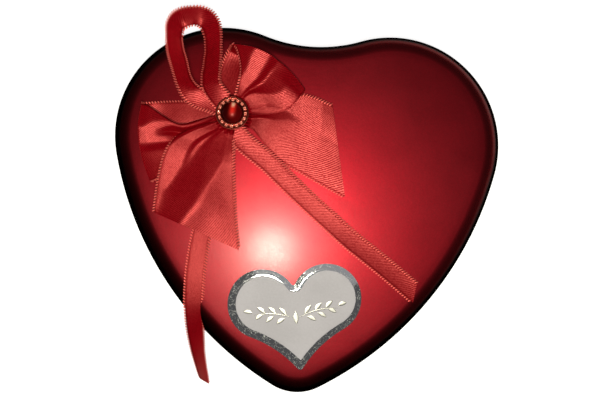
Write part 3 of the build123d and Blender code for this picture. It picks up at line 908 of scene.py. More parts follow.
def picot_rows(points, start, stop):
    """Places, run and outward direction of the loops along both edges of a ribbon."""
    pitch = settings().bow.picot_pitch
    found = []
    for edge, inner, (low, high) in ((0, 2, start), (-1, -3, stop)):
        line = points[:, edge]
        steps = run_lengths(line)
        stops = np.arange(low * steps[-1] + pitch / 2, high * steps[-1] - pitch / 3, pitch)
        spots = read_along(stops, steps, line)
        run = unit(read_along(stops, steps, np.gradient(line, axis=0)))
        out = read_along(stops, steps, line - points[:, inner])
        found.append((spots, run, across(out, run)))
    return found


def make_picots(name, points, material, start, stop):
    """Thread loops along both edges of a ribbon, copied from one grain."""
    bow = settings().bow
    deselect()
    bpy.ops.mesh.primitive_ico_sphere_add(subdivisions=1, radius=1.0, location=(0, 0, 0))
    grain = bpy.context.object
    half = np.array([bow.picot_length, bow.picot_thick, bow.picot_thick / 4]) / 2
    shape = np.array([v.co for v in grain.data.vertices]) * half
    faces = np.array([list(p.vertices) for p in grain.data.polygons])
    bpy.data.objects.remove(grain)
    corners, triangles = [], []
    slant = math.radians(30.0)
    lift = bow.thick / 2
    outset = 0.3 * bow.selvedge
    for side, (spots, run, out) in zip((1, -1), picot_rows(points, start, stop)):
        long = unit(out * math.cos(slant) + run * math.sin(slant) * side)
        up = unit(np.cross(run, out))
        middles = spots + out * outset + up * lift
        for middle, *axes in zip(middles, long, np.cross(up, long), up):
            triangles.append(faces + len(corners) * len(shape))
            corners.append(middle + shape @ np.array(axes))
    mesh = bpy.data.meshes.new(name)
    mesh.from_pydata(np.concatenate(corners).tolist(), [], np.concatenate(triangles).tolist())
    mesh.materials.append(material)
    return smooth(linked(name, mesh), 80.0)


def make_ribbon(node, points, materials, start=(0.0, 1.0), stop=(0.0, 1.0)):
    """A ribbon of cloth through a grid of points in place of a CAD node, and its looped edges."""
    cloth = lofted(node + "_satin", points)
    measure_uv(cloth, points)
    # The distance from the edges drives the painted shade along them.
    from_edges = [np.linalg.norm(points - points[:, [edge]], axis=2) for edge in (0, -1)]
    paint(cloth, np.minimum(*from_edges), "edge_distance")
    cloth.data.materials.append(materials[0])
    modified(cloth, "SOLIDIFY", thickness=settings().bow.thick, offset=0.0)
    smooth(cloth, 70.0)
    hand_over(cloth, "lid", "satin_ribbon", node)
    picots = make_picots(node + "_picots", points, materials[1], start, stop)
    hand_over(picots, "lid", "satin_ribbon")
    return cloth, picots


def make_wide_ribbons(materials):
    """The two loops and the two tails of the wide ribbon, each listed with the flat size that it was cut to.
    """
    jobs = [
        ("bow_loop_left", LEFT_LOOP, LEFT_LOOP_FOLDS, True, 5, 1.3, (0.0, 0.52), (0.0, 1.0), 0.07),
        ("bow_loop_right", RIGHT_LOOP, RIGHT_LOOP_FOLDS, True, 5, 2.1, (0.0, 1.0), (0.0, 0.4), 0.051),
        ("bow_tail_left", LEFT_TAIL, LEFT_TAIL_FOLDS, False, 5, 3.7, (0.36, 1.0), (0.1, 1.0), 0.046),
        ("bow_tail_right", RIGHT_TAIL, RIGHT_TAIL_FOLDS, False, 4, 4.9, (0.2, 1.0), (0.25, 1.0), 0.039),
    ]
    for name, rows, folds, loop, gathers, seed, start, stop, run in jobs:
        points = wide_surface(rows, folds, loop, gathers, seed)
        cloth, picots = make_ribbon(name, points, materials, start, stop)


def route_line(name, route):
    """Points of the smooth line that a narrow ribbon follows."""
    curve = bpy.data.curves.new(name, "CURVE")
    curve.dimensions = "3D"
    spline = curve.splines.new("NURBS")
    spline.points.add(len(route) - 1)
    for point, row in zip(spline.points, route):
        point.co = (*placed(row[:3]), 1.0)
    spline.order_u = 3
    spline.use_endpoint_u = True
    spline.resolution_u = NARROW_STEPS[0]
    holder = linked(name, curve)
    mesh = bpy.data.meshes.new_from_object(holder)
    line = np.array([v.co for v in mesh.vertices])
    bpy.data.objects.remove(holder)
    bpy.data.meshes.remove(mesh)
    return line


def narrow_surface(name, route):
    """The line of a narrow ribbon and its points, with its tilt and its cut end."""
    tin = settings().tin
    bow = settings().bow
    line = route_line(name, route)
    last = len(route) - 2
    knots = np.concatenate([[0.0], np.arange(last) + 0.5, [last]])
    places = np.linspace(0.0, last, len(line))
    tilt = np.radians(np.interp(places, knots, [row[3] for row in route]))[:, None]
    stagger = np.interp(places, knots, [row[4] for row in route])[:, None] * MM
    run = unit(np.gradient(line, axis=0))
    up = unit(line - np.array([0.0, tin.crown_y, tin.height - tin.crown_radius]))
    level = unit(np.cross(up, run))
    side = across(level * np.cos(tilt) + up * np.sin(tilt), run)
    half = side * (bow.narrow_width / 2 - bow.selvedge) + run * stagger
    t = np.linspace(1.0, -1.0, NARROW_STEPS[1])
    hollow = np.cross(run, side)[:, None] * (NARROW_HOLLOW * (t**2 - 0.4))[:, None]
    return line, line[:, None] + half[:, None] * t[:, None] + hollow


def make_narrow_ribbons(materials):
    """The standing loop and the two tails of the narrow ribbon, each listed with its real length."""
    jobs = [
        ("narrow_loop", NARROW_LOOP, 0.093, "object", "loose"),
        ("narrow_tail_left", NARROW_LEFT, 0.106, "bare", "hanging"),
        ("narrow_tail_right", NARROW_RIGHT, 0.098, "bare", "loose"),
    ]
    for name, route, real_length, far_end, lay in jobs:
        line, points = narrow_surface(name + "_line", route)
        cloth, picots = make_ribbon(name, points, materials)


def make_knot(material):
    """The gathered middle of the bow, fluted, drawn in at the wire and rounded at both ends."""
    bow = settings().bow
    low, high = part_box("bow_knot")
    turns = np.linspace(0.0, FULL_TURN, 8 * bow.flutes + 1)
    rows = []
    for share in np.linspace(0.0, 1.0, 30):
        waist = 1.0 - 0.05 * math.exp(-(((share - 0.43) / 0.09) ** 2))
        round_off = 1.0 - 0.25 * max(0.0, abs(share - 0.5) - 0.42) / 0.08
        flute = 0.045 * np.cos(bow.flutes * turns + 2.2 * share) + 0.02 * np.cos(7 * turns - share)
        radius = bow.knot_radius * waist * round_off * (0.985 + flute)
        rows.append(circle_row(bow.knot_x, bow.knot_y, low.z + (high.z - low.z) * share, radius, turns))
    ends = [circle_row(bow.knot_x, bow.knot_y, row[0, 2], 0.0, turns) for row in (rows[0], rows[-1])]
    knot = shell(lofted("bow_knot_gathered", [ends[0], *rows, ends[1]]), [material], 60.0)
    hand_over(knot, "lid", "satin_ribbon", "bow_knot")


def faces_up(piece):
    """Opens a piece for editing with only the faces that point up selected."""
    only(piece)
    bpy.ops.object.mode_set(mode="EDIT")
    bpy.ops.mesh.select_all(action="DESELECT")
    bpy.ops.object.mode_set(mode="OBJECT")
    for face in piece.data.polygons:
        face.select = face.normal.z > 0.99
    bpy.ops.object.mode_set(mode="EDIT")


def raised(height):
    """Extrudes the selected faces upwards, or downwards where the height is negative."""
    bpy.ops.mesh.extrude_region_move(TRANSFORM_OT_translate={"value": (0, 0, height)})


def make_setting(material, centre):
    """Back plate with a rim and a collet."""
    brooch = settings().brooch
    x, y, z = centre
    deselect()
    bpy.ops.mesh.primitive_cylinder_add(
        vertices=96, radius=brooch.radius, depth=brooch.plate, location=(x, y, z + brooch.plate / 2)
    )
    plate = named("brooch_setting_copper")
    collet_radius = brooch.stone_radius + brooch.stone_gap + brooch.collet
    faces_up(plate)
    raised(brooch.rim_height)
    bpy.ops.mesh.inset(thickness=brooch.rim)
    raised(-brooch.rim_height)
    bpy.ops.mesh.inset(thickness=brooch.radius - brooch.rim - collet_radius)
    raised(brooch.collet_height)
    bpy.ops.mesh.inset(thickness=brooch.collet)
    raised(-brooch.collet_height)
    bpy.ops.object.mode_set(mode="OBJECT")
    settled(plate)
    bevelled(plate, 0.4 * brooch.collet, 3, 40.0)
    plate.data.materials.append(material)
    smooth(plate, 50.0)
    hand_over(plate, "lid", "copper_setting", "brooch_setting")


def make_stone(material, centre):
    """Domed stone with a straight girdle."""
    brooch = settings().brooch
    x, y, z = centre
    low = z + brooch.plate
    dome = brooch.stone_height - brooch.girdle
    turns = np.linspace(0.0, FULL_TURN, 65)
    profile = [(0.0, 0.0), (1.0, 0.0), (1.0, brooch.girdle)]
    for lean in np.linspace(0.0, math.pi / 2, 20)[1:]:
        profile.append((math.cos(lean), brooch.girdle + dome * math.sin(lean)))
    rows = [circle_row(x, y, low + rise, brooch.stone_radius * share, turns) for share, rise in profile]
    stone = shell(lofted("brooch_stone_red", rows), [material], 50.0)
    hand_over(stone, "lid", "red_stone", "brooch_stone")


def make_beads(materials, centre):
    """Ring of small set stones, one modelled and the rest copied."""
    brooch = settings().brooch
    size = brooch.bead_radius
    x, y, z = centre
    deselect()
    bpy.ops.mesh.primitive_cylinder_add(
        vertices=4, radius=1.1 * size, depth=1.2 * size, location=(0, 0, 0), rotation=(0, 0, math.pi / 4)
    )
    first = settled(named("brooch_beads_pink"))
    for material in materials:
        first.data.materials.append(material)
    faces_up(first)
    raised(0.4 * size)
    bpy.ops.transform.resize(value=(0.78, 0.78, 1.0))
    bpy.ops.mesh.inset(thickness=0.26 * size)
    raised(-0.3 * size)
    bpy.ops.transform.resize(value=(0.6, 0.6, 1.0))
    first.active_material_index = 1
    bpy.ops.object.material_slot_assign()
    bpy.ops.object.mode_set(mode="OBJECT")
    bevelled(first, 0.12 * size, 2, 30.0)
    smooth(first, 40.0)
    beads = [first] + [linked("bead", first.data.copy()) for _ in range(brooch.beads - 1)]
    lift = z + brooch.plate + 0.62 * size
    reach = brooch.bead_circle
    for i, bead in enumerate(beads):
        turn = FULL_TURN * i / brooch.beads
        bead.rotation_euler = (0.0, 0.0, turn)
        bead.location = (x + reach * math.cos(turn), y + reach * math.sin(turn), lift)
        settled(bead)
    joined(*beads)
    hand_over(first, "lid", "pink_stone", "brooch_beads")


def label_ring(inset, tip_round):
    """Points round the label's heart, moved inwards by an inset, from the notch clockwise."""
    label = settings().label
    ahead = np.array([math.cos(label.lobe_end), math.sin(label.lobe_end)])
    lobe = np.array([label.lobe_x, label.lobe_y])
    foot = lobe + ahead * label.lobe_radius
    chord = np.array([0.0, label.tip_y]) - foot
    flank_radius = chord @ chord / (2 * (chord @ ahead))
    flank = foot + ahead * flank_radius
    notch_rise = math.sqrt((label.lobe_radius + label.notch) ** 2 - label.lobe_x**2)
    notch = np.array([0.0, label.lobe_y + notch_rise])
    reach = flank_radius + inset
    tip = np.array([0.0, flank[1] + math.sqrt((reach + tip_round) ** 2 - flank[0] ** 2)])
    arcs = [
        (notch, label.notch + inset, -math.pi / 2, heading(notch, lobe), 8),
        (lobe, label.lobe_radius - inset, heading(lobe, notch), label.lobe_end, 44),
        (flank, reach, heading(flank, lobe), heading(flank, tip), 18),
        (tip, tip_round, heading(tip, flank), -math.pi / 2, 6),
    ]
    half = np.concatenate(arc_points(arcs)[0] + [[tip - [0.0, tip_round]]])
    return np.concatenate([half, half[-2::-1] * [-1.0, 1.0]])


def on_label(flat, lift):
    """Label points turned into the frame and laid on the lid's crown."""
    label = settings().label
    cosine, sine = math.cos(label.tilt), math.sin(label.tilt)
    x = label.x + flat[..., 0] * cosine - flat[..., 1] * sine
    y = label.y + flat[..., 0] * sine + flat[..., 1] * cosine
    return np.stack([x, y, crown_z(x, y) + lift], axis=-1)


def make_foil(material):
    """Crinkled foil heart whose border slopes to its edge and curls up at the tip."""
    label = settings().label
    thin = 0.1 * label.foil
    slope = 0.8 * label.border
    inmost = label.border + FOIL_TUCK
    middle = np.array([0.0, LABEL_MIDDLE])
    edge = label_ring(0.0, label.foil_tip)
    rows = [on_label(np.tile(middle, (len(edge), 1)), label.lift)]
    rows += [on_label(edge, label.lift), on_label(edge, label.lift + thin)]
    for inset in np.linspace(FOIL_ROUND, inmost, 16):
        flat = label_ring(inset, label.foil_tip)
        row = on_label(flat, label.lift + (thin + (label.foil - thin) * min(1.0, inset / slope)))
        curl = np.exp(-(((flat[:, 1] - label.tip_y) / CURL_REACH) ** 2)) * (1.0 - inset / CURL_FADE)
        row[:, 2] += ripple(row, CRINKLE_SIZE, CRINKLE_DEPTH, 5.0) + CURL_RISE * curl
        rows.append(row)
    inside = label_ring(inmost, label.foil_tip)
    for share in (0.7, 0.3, 0.0):
        rows.append(on_label(middle + (inside - middle) * share, label.lift + label.foil - FOIL_SINK))
    foil = shell(lofted("label_foil_crinkled", rows), [material], 40.0)
    hand_over(foil, "lid", "silver_foil", "label_foil")


def make_leaf(leaf, base, material):
    """One stamped leaf: a lens with a bent middle line."""
    x, y, size, width, degrees, side, bend = leaf
    turn = math.radians(degrees)
    along, aside = np.meshgrid(np.linspace(0.0, 1.0, 17), np.linspace(-1.0, 1.0, 7), indexing="ij")
    half = width / 2 * np.sin(math.pi * along) ** 0.8
    u = size * along
    v = half * aside + bend * (1 - (2 * along - 1) ** 2) * 0.5
    flat_x = side * (u * math.cos(turn) - v * math.sin(turn)) + x
    flat_y = u * math.sin(turn) + v * math.cos(turn) + y
    rows = on_label(np.stack([flat_x, flat_y], axis=-1) * MM, base + LEAF_RISE * (1 - aside**4))
    return shell(lofted("leaf", rows), [material], 60.0)


def make_face(materials):
    """Paper face with a rounded edge and a stamped spray of leaves: a bud, two stems and their leaves."""
    label = settings().label
    low = label.lift + label.foil
    top = low + label.face
    outline = label_ring(label.border, label.face_tip) + [label.shift, 0.0]
    middle = np.array([label.shift, LABEL_MIDDLE])
    levels = [(0.0, low), (1.0, low), (1.0, top - 0.00007), (0.994, top - 0.00002), (0.985, top)]
    levels += [(share, top) for share in np.linspace(0.9, 0.0, 8)]
    rows = [on_label(middle + (outline - middle) * share, rise) for share, rise in levels]
    face = shell(lofted("label_face_paper", rows), materials[:1], 40.0)
    leaves = [(0.0, 1.4, 5.2, 2.0, 90, 1, 0.0)]
    for side in (1, -1):
        leaves.append((0.3 * side, 3.6, 16.5, 0.55, 9, side, 2.6))
        for x, y, size, turn in SPRAY:
            leaves.append((x * side, y, size, 1.6, turn, side, 0.4))
    joined(face, *[make_leaf(leaf, top, materials[1]) for leaf in leaves])
    hand_over(face, "lid", "grey_paper", "label_face")


def feed(tree, socket, value):
    """Gives a socket a link or a value of its own. A colour has three parts."""
    if isinstance(value, bpy.types.NodeSocket):
        tree.links.new(value, socket)
    elif socket.type == "RGBA":
        socket.default_value = (*value, 1.0)
    else:
        socket.default_value = value


def wire(tree, node, values):
    """Feeds several sockets of a node."""
    for name, value in values.items():
        feed(tree, node.inputs[name], value)


def add(tree, kind, values=None, **node_settings):
    """Adds a node with its own settings and with links or values on its sockets."""
    made = tree.nodes.new(kind)
    for name, value in node_settings.items():
        setattr(made, name, value)
    wire(tree, made, values or {})
    return made


def math_node(tree, operation, first, second=0.0):
    """A math node whose inputs are sockets or numbers."""
    return add(tree, "ShaderNodeMath", {0: first, 1: second}, operation=operation).outputs[0]


def span(tree, value, low, high, start, end):
    """A value moved smoothly from one range to another."""
    values = {"Value": value, "From Min": low, "From Max": high, "To Min": start, "To Max": end}
    return add(tree, "ShaderNodeMapRange", values, interpolation_type="SMOOTHSTEP").outputs["Result"]


def mixed(tree, share, first, second):
    """A mix of two colours, each a socket or a colour."""
    return add(tree, "ShaderNodeMix", {0: share, 6: first, 7: second}, data_type="RGBA").outputs[2]


def noise_of(tree, place, scale, detail, **more):
    """Noise at a place, as one number."""
    values = {"Vector": place, "Scale": scale, "Detail": detail, **more}
    return add(tree, "ShaderNodeTexNoise", values).outputs["Fac"]


def object_place(tree):
    return add(tree, "ShaderNodeTexCoord").outputs["Object"]


def axes_of(tree, place):
    return add(tree, "ShaderNodeSeparateXYZ", {0: place}).outputs


def painted(tree, name):
    """The number that a piece's points hold under a name."""
    return add(tree, "ShaderNodeAttribute", attribute_name=name).outputs["Fac"]


def facing(tree):
    """How far a face is turned away from the viewer."""
    return add(tree, "ShaderNodeLayerWeight", {"Blend": 0.5}).outputs["Facing"]


def shaded(base, share):
    """A colour made darker or lighter."""
    return tuple(min(1.0, part * share) for part in base)


def bumped(tree, shader, height, distance, strength=1.0):
    """Gives a shader small heights through its normal."""
    bump = add(tree, "ShaderNodeBump", {"Strength": strength, "Distance": distance, "Height": height})
    feed(tree, shader.inputs["Normal"], bump.outputs["Normal"])
    return bump


def group_of(name, *outputs):
    """An empty shader node group that turns a place into numbers: its tree, its place and its end."""
    tree = bpy.data.node_groups.new(name, "ShaderNodeTree")
    tree.interface.new_socket("Vector", in_out="INPUT", socket_type="NodeSocketVector")
    for output in outputs:
        tree.interface.new_socket(output, in_out="OUTPUT", socket_type="NodeSocketFloat")
    return tree, add(tree, "NodeGroupInput").outputs["Vector"], add(tree, "NodeGroupOutput")


def use_group(tree, name, maker, place):
    """Places a shared group in a material with its coordinates and gives its outputs."""
    group = bpy.data.node_groups.get(name) or maker()
    return add(tree, "ShaderNodeGroup", {"Vector": place}, node_tree=group).outputs


def thread_shade(tree, place):
    """Shade of satin threads, read along a ribbon, with the twill and the floats that it is made of."""
    waves = {"Vector": place, "Scale": 700.0, "Distortion": 1.2, "Detail": 1.0}
    twill = add(tree, "ShaderNodeTexWave", waves, bands_direction="DIAGONAL").outputs["Fac"]
    floats = math_node(tree, "MULTIPLY", noise_of(tree, place, 1300.0, 3.0, Roughness=0.65), 0.6)
    slubs = math_node(tree, "MULTIPLY", noise_of(tree, place, 420.0, 2.0), 0.15)
    shade = math_node(tree, "ADD", math_node(tree, "MULTIPLY", twill, 0.25), floats)
    return math_node(tree, "ADD", shade, slubs), twill, floats


def satin_threads():
    """Group: the twill of satin threads, as a shade and a height, read along a ribbon."""
    tree, place, end = group_of("Satin threads", "Shade", "Height")
    shade, twill, floats = thread_shade(tree, place)
    wire(tree, end, {"Shade": shade, "Height": math_node(tree, "ADD", twill, floats)})
    return tree


def lacquer_flakes():
    """Group: metal flakes and orange peel in lacquer."""
    tree, place, end = group_of("Lacquer flakes", "Flake", "Peel")
    flakes = add(tree, "ShaderNodeTexVoronoi", {"Vector": place, "Scale": 5200.0}).outputs["Color"]
    sparkle = add(tree, "ShaderNodeSeparateColor", {"Color": flakes}).outputs["Red"]
    cloud = math_node(tree, "MULTIPLY", noise_of(tree, place, 70.0, 3.0), 0.5)
    shade = math_node(tree, "ADD", math_node(tree, "MULTIPLY", sparkle, 0.5), cloud)
    wire(tree, end, {"Flake": shade, "Peel": noise_of(tree, place, 650.0, 2.0)})
    return tree


def hand_marks():
    """Group: smudges and fine rubbing on metal."""
    tree, place, end = group_of("Hand marks", "Smudge", "Rub")
    smudge = noise_of(tree, place, 55.0, 5.0, Distortion=0.8)
    wire(tree, end, {"Smudge": smudge, "Rub": noise_of(tree, place, 900.0, 3.0)})
    return tree


def new_material(name):
    """A material with its node tree and its shader."""
    material = bpy.data.materials.new(name)
    material.use_nodes = True
    tree = material.node_tree
    return material, tree, tree.nodes["Principled BSDF"]


def lacquer_material(name, painted_rim_shade):
    """Red metallic lacquer. On the lid, painted shade darkens it towards its rounded edge."""
    tin = settings().tin
    material, tree, shader = new_material(name)
    place = object_place(tree)
    flakes = use_group(tree, "Lacquer flakes", lacquer_flakes, place)
    marks = use_group(tree, "Hand marks", hand_marks, place)
    tint = mixed(tree, flakes["Flake"], shaded(tin.lacquer, 0.72), shaded(tin.lacquer, 1.25))
    coat = span(tree, marks["Smudge"], 0.3, 0.7, 0.27, 0.31)
    peel = bumped(tree, shader, flakes["Peel"], 0.000012)
    if painted_rim_shade:
        # Painted shade over the rounded edge: the colour darkens to the edge colour over a band that is wider
        # towards the lower left, and the coat thins with it.
        axes = axes_of(tree, place)
        lean = math_node(tree, "ADD", axes["X"], axes["Y"])
        width = math_node(tree, "SUBTRACT", 0.0055, math_node(tree, "MULTIPLY", lean, 0.03))
        rim = math_node(tree, "DIVIDE", painted(tree, "rim_distance"), width)
        share = span(tree, rim, 0.2, 1.15, 0.0, 1.0)
        tint = mixed(tree, share, tin.edge, tint)
        coat = math_node(tree, "MULTIPLY", coat, share)
        normal = add(tree, "ShaderNodeNewGeometry").outputs["Normal"]
        slanted = add(tree, "ShaderNodeVectorMath", {0: normal, 1: tin.flake_slant}, operation="ADD")
        even = add(tree, "ShaderNodeVectorMath", {0: slanted.outputs[0]}, operation="NORMALIZE")
        wire(tree, peel, {"Normal": even.outputs[0]})
        wire(tree, shader, {"Coat Normal": normal})
    haze = noise_of(tree, place, 5000.0, 0.0)
    looks = {
        "Base Color": tint,
        "Metallic": 1.0,
        "Roughness": span(tree, marks["Smudge"], 0.25, 0.75, 0.36, 0.4),
        "Specular Tint": (0.1, 0.005, 0.005),
        "Coat Weight": coat,
        "Coat Roughness": span(tree, haze, 0.585, 0.625, 0.26, 0.145),
    }
    wire(tree, shader, looks)
    return material


def tin_material(name):
    """Bright tinplate with rubbing."""
    material, tree, shader = new_material(name)
    marks = use_group(tree, "Hand marks", hand_marks, object_place(tree))
    looks = {
        "Base Color": mixed(tree, marks["Smudge"], (0.62, 0.61, 0.59), (0.78, 0.77, 0.75)),
        "Metallic": 1.0,
        "Roughness": span(tree, marks["Smudge"], 0.2, 0.8, 0.24, 0.4),
    }
    wire(tree, shader, looks)
    bumped(tree, shader, marks["Rub"], 0.00001)
    return material


def satin_material(name, shaded_under_picots):
    """Satin cloth whose threads follow the ribbon, with painted shade along its edges under the picot loops
    where asked.
    """
    base = settings().bow.satin
    material, tree, shader = new_material(name)
    place = add(tree, "ShaderNodeUVMap").outputs["UV"]
    threads = use_group(tree, "Satin threads", satin_threads, place)
    shade = span(tree, threads["Shade"], 0.36, 0.64, 0.0, 1.0)
    dye = mixed(tree, shade, shaded(base, 0.68), shaded(base, 1.32))
    # The shine reads the threads in the material itself, because a group feeds no level of reflection.
    level = span(tree, thread_shade(tree, place)[0], 0.38, 0.62, 0.12, 0.8)
    if shaded_under_picots:
        # Painted shade along the edges, under the picot loops: the cloth darkens and shines less there.
        border = span(tree, painted(tree, "edge_distance"), 0.0004, 0.0009, 0.4, 1.0)
        dye = mixed(tree, border, shaded(base, 0.5), dye)
        level = math_node(tree, "MULTIPLY", level, border)
    turned = span(tree, facing(tree), 0.0, 0.2, 1.0, 0.0)
    looks = {
        "Base Color": dye,
        "Metallic": 0.32,
        "Roughness": span(tree, threads["Shade"], 0.36, 0.64, 0.44, 0.36),
        "Specular IOR Level": math_node(tree, "MULTIPLY", level, turned),
        "Specular Tint": (1.0, 0.7, 0.63),
    }
    wire(tree, shader, looks)
    bumped(tree, shader, threads["Height"], 0.00004, 0.7)
    return material


def picot_material(name):
    """Thread of the loops on the ribbons' edges, much lighter than the satin: a painted highlight."""
    base = settings().bow.picot
    material, tree, shader = new_material(name)
    strands = noise_of(tree, object_place(tree), 1500.0, 2.0)
    looks = {
        "Base Color": mixed(tree, strands, shaded(base, 0.7), base),
        "Metallic": 0.6,
        "Roughness": 0.55,
        "Specular IOR Level": span(tree, facing(tree), 0.1, 0.4, 0.6, 0.0),
    }
    wire(tree, shader, looks)
    bumped(tree, shader, strands, 0.00002)
    return material


def metal_material(name, base, low, high):
    """Polished metal with rubbing, between two roughnesses."""
    material, tree, shader = new_material(name)
    marks = use_group(tree, "Hand marks", hand_marks, object_place(tree))
    looks = {
        "Base Color": mixed(tree, marks["Rub"], shaded(base, 0.55), base),
        "Metallic": 1.0,
        "Roughness": span(tree, marks["Smudge"], 0.25, 0.75, low, high),
    }
    wire(tree, shader, looks)
    bumped(tree, shader, marks["Rub"], 0.00002)
    return material


def foil_material(name):
    """Bright foil with dull specks where its crinkles stand up."""
    base = settings().label.silver
    material, tree, shader = new_material(name)
    crinkles = noise_of(tree, object_place(tree), 1300.0, 4.0, Distortion=1.6)
    looks = {
        "Base Color": mixed(tree, span(tree, crinkles, 0.6, 0.62, 0.0, 1.0), base, shaded(base, 0.55)),
        "Metallic": 1.0,
        "Roughness": span(tree, crinkles, 0.6, 0.62, 0.04, 0.75),
    }
    wire(tree, shader, looks)
    bumped(tree, shader, crinkles, 0.000008)
    return material


def dome_material(name):
    """Deep red stone with a painted highlight streak and glint inside it, and painted shade towards its left.
    """
    brooch = settings().brooch
    bow = settings().bow
    material, tree, shader = new_material(name)
    axes = axes_of(tree, object_place(tree))
    right = math_node(tree, "SUBTRACT", axes["X"], bow.knot_x)
    ahead = math_node(tree, "SUBTRACT", axes["Y"], bow.knot_y)
    aside = math_node(tree, "SUBTRACT", right, math_node(tree, "MULTIPLY", ahead, 0.12))
    aside = math_node(tree, "ABSOLUTE", aside)
    # Painted highlight: a streak of light up the stone, with a paler glint near its top.
    wide = span(tree, aside, 0.0, 0.0021, 1.0, 0.0)
    long = span(tree, ahead, -0.0032, 0.0008, 0.0, 1.0)
    painted_streak = math_node(tree, "POWER", math_node(tree, "MULTIPLY", wide, long), 1.6)
    narrow = span(tree, aside, 0.0001, 0.001, 1.0, 0.0)
    short = span(tree, ahead, 0.0014, 0.003, 0.0, 1.0)
    painted_glint = math_node(tree, "MULTIPLY", narrow, short)
    # Painted shade: the stone's colour darkens towards its left.
    depth = span(tree, right, -0.003, 0.003, 0.35, 1.3)
    body = mixed(tree, painted_streak, mixed(tree, depth, (0.0, 0.0, 0.0), brooch.stone), brooch.glow)
    looks = {
        "Base Color": mixed(tree, painted_glint, body, brooch.painted_glint),
        "Roughness": 0.28,
        "Specular IOR Level": span(tree, facing(tree), 0.1, 0.5, 0.16, 0.02),
        "Specular Tint": (1.0, 0.45, 0.4),
    }
    wire(tree, shader, looks)
    return material


def stone_material(name, base, glow):
    """Small polished stones, some lighter than others."""
    material, tree, shader = new_material(name)
    clouds = noise_of(tree, object_place(tree), 420.0, 2.0)
    looks = {
        "Base Color": mixed(tree, clouds, base, glow),
        "Metallic": 0.4,
        "Roughness": 0.3,
        "Coat Weight": 0.5,
        "Coat Roughness": 0.1,
    }
    wire(tree, shader, looks)
    return material


def paper_material(name):
    """Matt grey paper with a fine tooth."""
    base = settings().label.paper
    material, tree, shader = new_material(name)
    place = object_place(tree)
    tooth = noise_of(tree, place, 1400.0, 4.0)
    cast = noise_of(tree, place, 60.0, 2.0)
    both = math_node(tree, "ADD", math_node(tree, "MULTIPLY", tooth, 0.6), cast)
    shade = span(tree, both, 0.5, 1.1, 0.0, 1.0)
    tint = mixed(tree, shade, shaded(base, 0.92), shaded(base, 1.06))
    wire(tree, shader, {"Base Color": tint, "Roughness": 0.6})
    bumped(tree, shader, tooth, 0.00002)
    return material


def glue_material(name):
    """Cloudy dried glue."""
    material, tree, shader = new_material(name)
    haze = noise_of(tree, object_place(tree), 500.0, 3.0)
    tint = mixed(tree, haze, (0.72, 0.7, 0.64), (0.9, 0.88, 0.84))
    wire(tree, shader, {"Base Color": tint, "Roughness": 0.25})
    bumped(tree, shader, haze, 0.0002)
    return material


def make_floor():
    """A wide pale floor that shows white and keeps the shadow."""
    deselect()
    bpy.ops.mesh.primitive_circle_add(vertices=96, radius=6.0, fill_type="NGON", location=(0, 0, -0.0002))
    floor = named("floor")
    material = bpy.data.materials.new("floor_white")
    material.use_nodes = True
    tree = material.node_tree
    tree.nodes.clear()
    rays = add(tree, "ShaderNodeLightPath").outputs
    seen = math_node(tree, "MAXIMUM", rays["Is Camera Ray"], rays["Is Glossy Ray"])
    seen = math_node(tree, "MAXIMUM", seen, rays["Is Transmission Ray"])
    strength = math_node(tree, "MULTIPLY", seen, 0.85)
    matt = add(tree, "ShaderNodeBsdfDiffuse", {"Color": settings().stage.floor})
    light = add(tree, "ShaderNodeEmission", {"Color": (1.0, 1.0, 1.0), "Strength": strength})
    both = add(tree, "ShaderNodeAddShader", {0: matt.outputs[0], 1: light.outputs[0]})
    add(tree, "ShaderNodeOutputMaterial", {"Surface": both.outputs[0]})
    floor.data.materials.append(material)


def lamp(name, energy, tone, size, place, target):
    """One soft lamp that looks at a point."""
    data = bpy.data.lights.new(name, "AREA")
    data.energy = energy
    data.color = tone
    data.size = size
    holder = linked(name, data)
    holder.location = place
    holder.rotation_euler = (Vector(target) - Vector(place)).to_track_quat("-Z", "Y").to_euler()


def make_light():
    """A dim white studio with a warm lamp close over the lid and a wide pale one."""
    world = bpy.data.worlds.new("studio")
    world.use_nodes = True
    tree = world.node_tree
    wire(tree, tree.nodes["Background"], {"Color": (1.0, 1.0, 1.0), "Strength": 0.1})
    bpy.context.scene.world = world
    lamp(
        "key",
        energy=1.7,
        tone=(1.0, 0.985, 0.8),
        size=0.04,
        place=(-0.018, -0.045, 0.5),
        target=(-0.012, -0.008, 0.04),
    )
    lamp(
        "fill",
        energy=0.1,
        tone=(1.0, 1.0, 1.0),
        size=0.35,
        place=(0.1, 0.06, 0.75),
        target=(0.02, 0.0, 0.04),
    )


def make_camera():
    """A camera nearly straight above that looks at the middle of the lid."""
    stage = settings().stage
    data = bpy.data.cameras.new("camera")
    camera = linked("camera", data)
    place = Vector((stage.camera_x, stage.camera_y, stage.camera_height))
    aim = Vector((-0.0018, 0.0044, 0.04))
    back = (place - aim).normalized()
    level = Vector((math.cos(stage.roll), math.sin(stage.roll), 0.0))
    up = back.cross(level).normalized()
    level = up.cross(back)
    data.sensor_width = 36.0
    data.lens = data.sensor_width * (place - aim).length / stage.view_width
    data.clip_start = 0.01
    turn = Matrix((level, up, back)).transposed()
    camera.matrix_world = Matrix.Translation(place) @ turn.to_4x4()
    bpy.context.scene.camera = camera
    bpy.context.scene.view_settings.view_transform = "Standard"


class HEARTBOX_OT_tin(bpy.types.Operator):
    """Builds the lid, the base's wall and its bottom panel"""

    bl_idname = "heartbox.tin"
    bl_label = "Tin"

    def execute(self, context):
        bare = tin_material("bare_tin")
        make_lid([lacquer_material("lid_lacquer", True), bare])
        make_wall([lacquer_material("base_lacquer", False), bare])
        make_panel(bare)
        return {"FINISHED"}


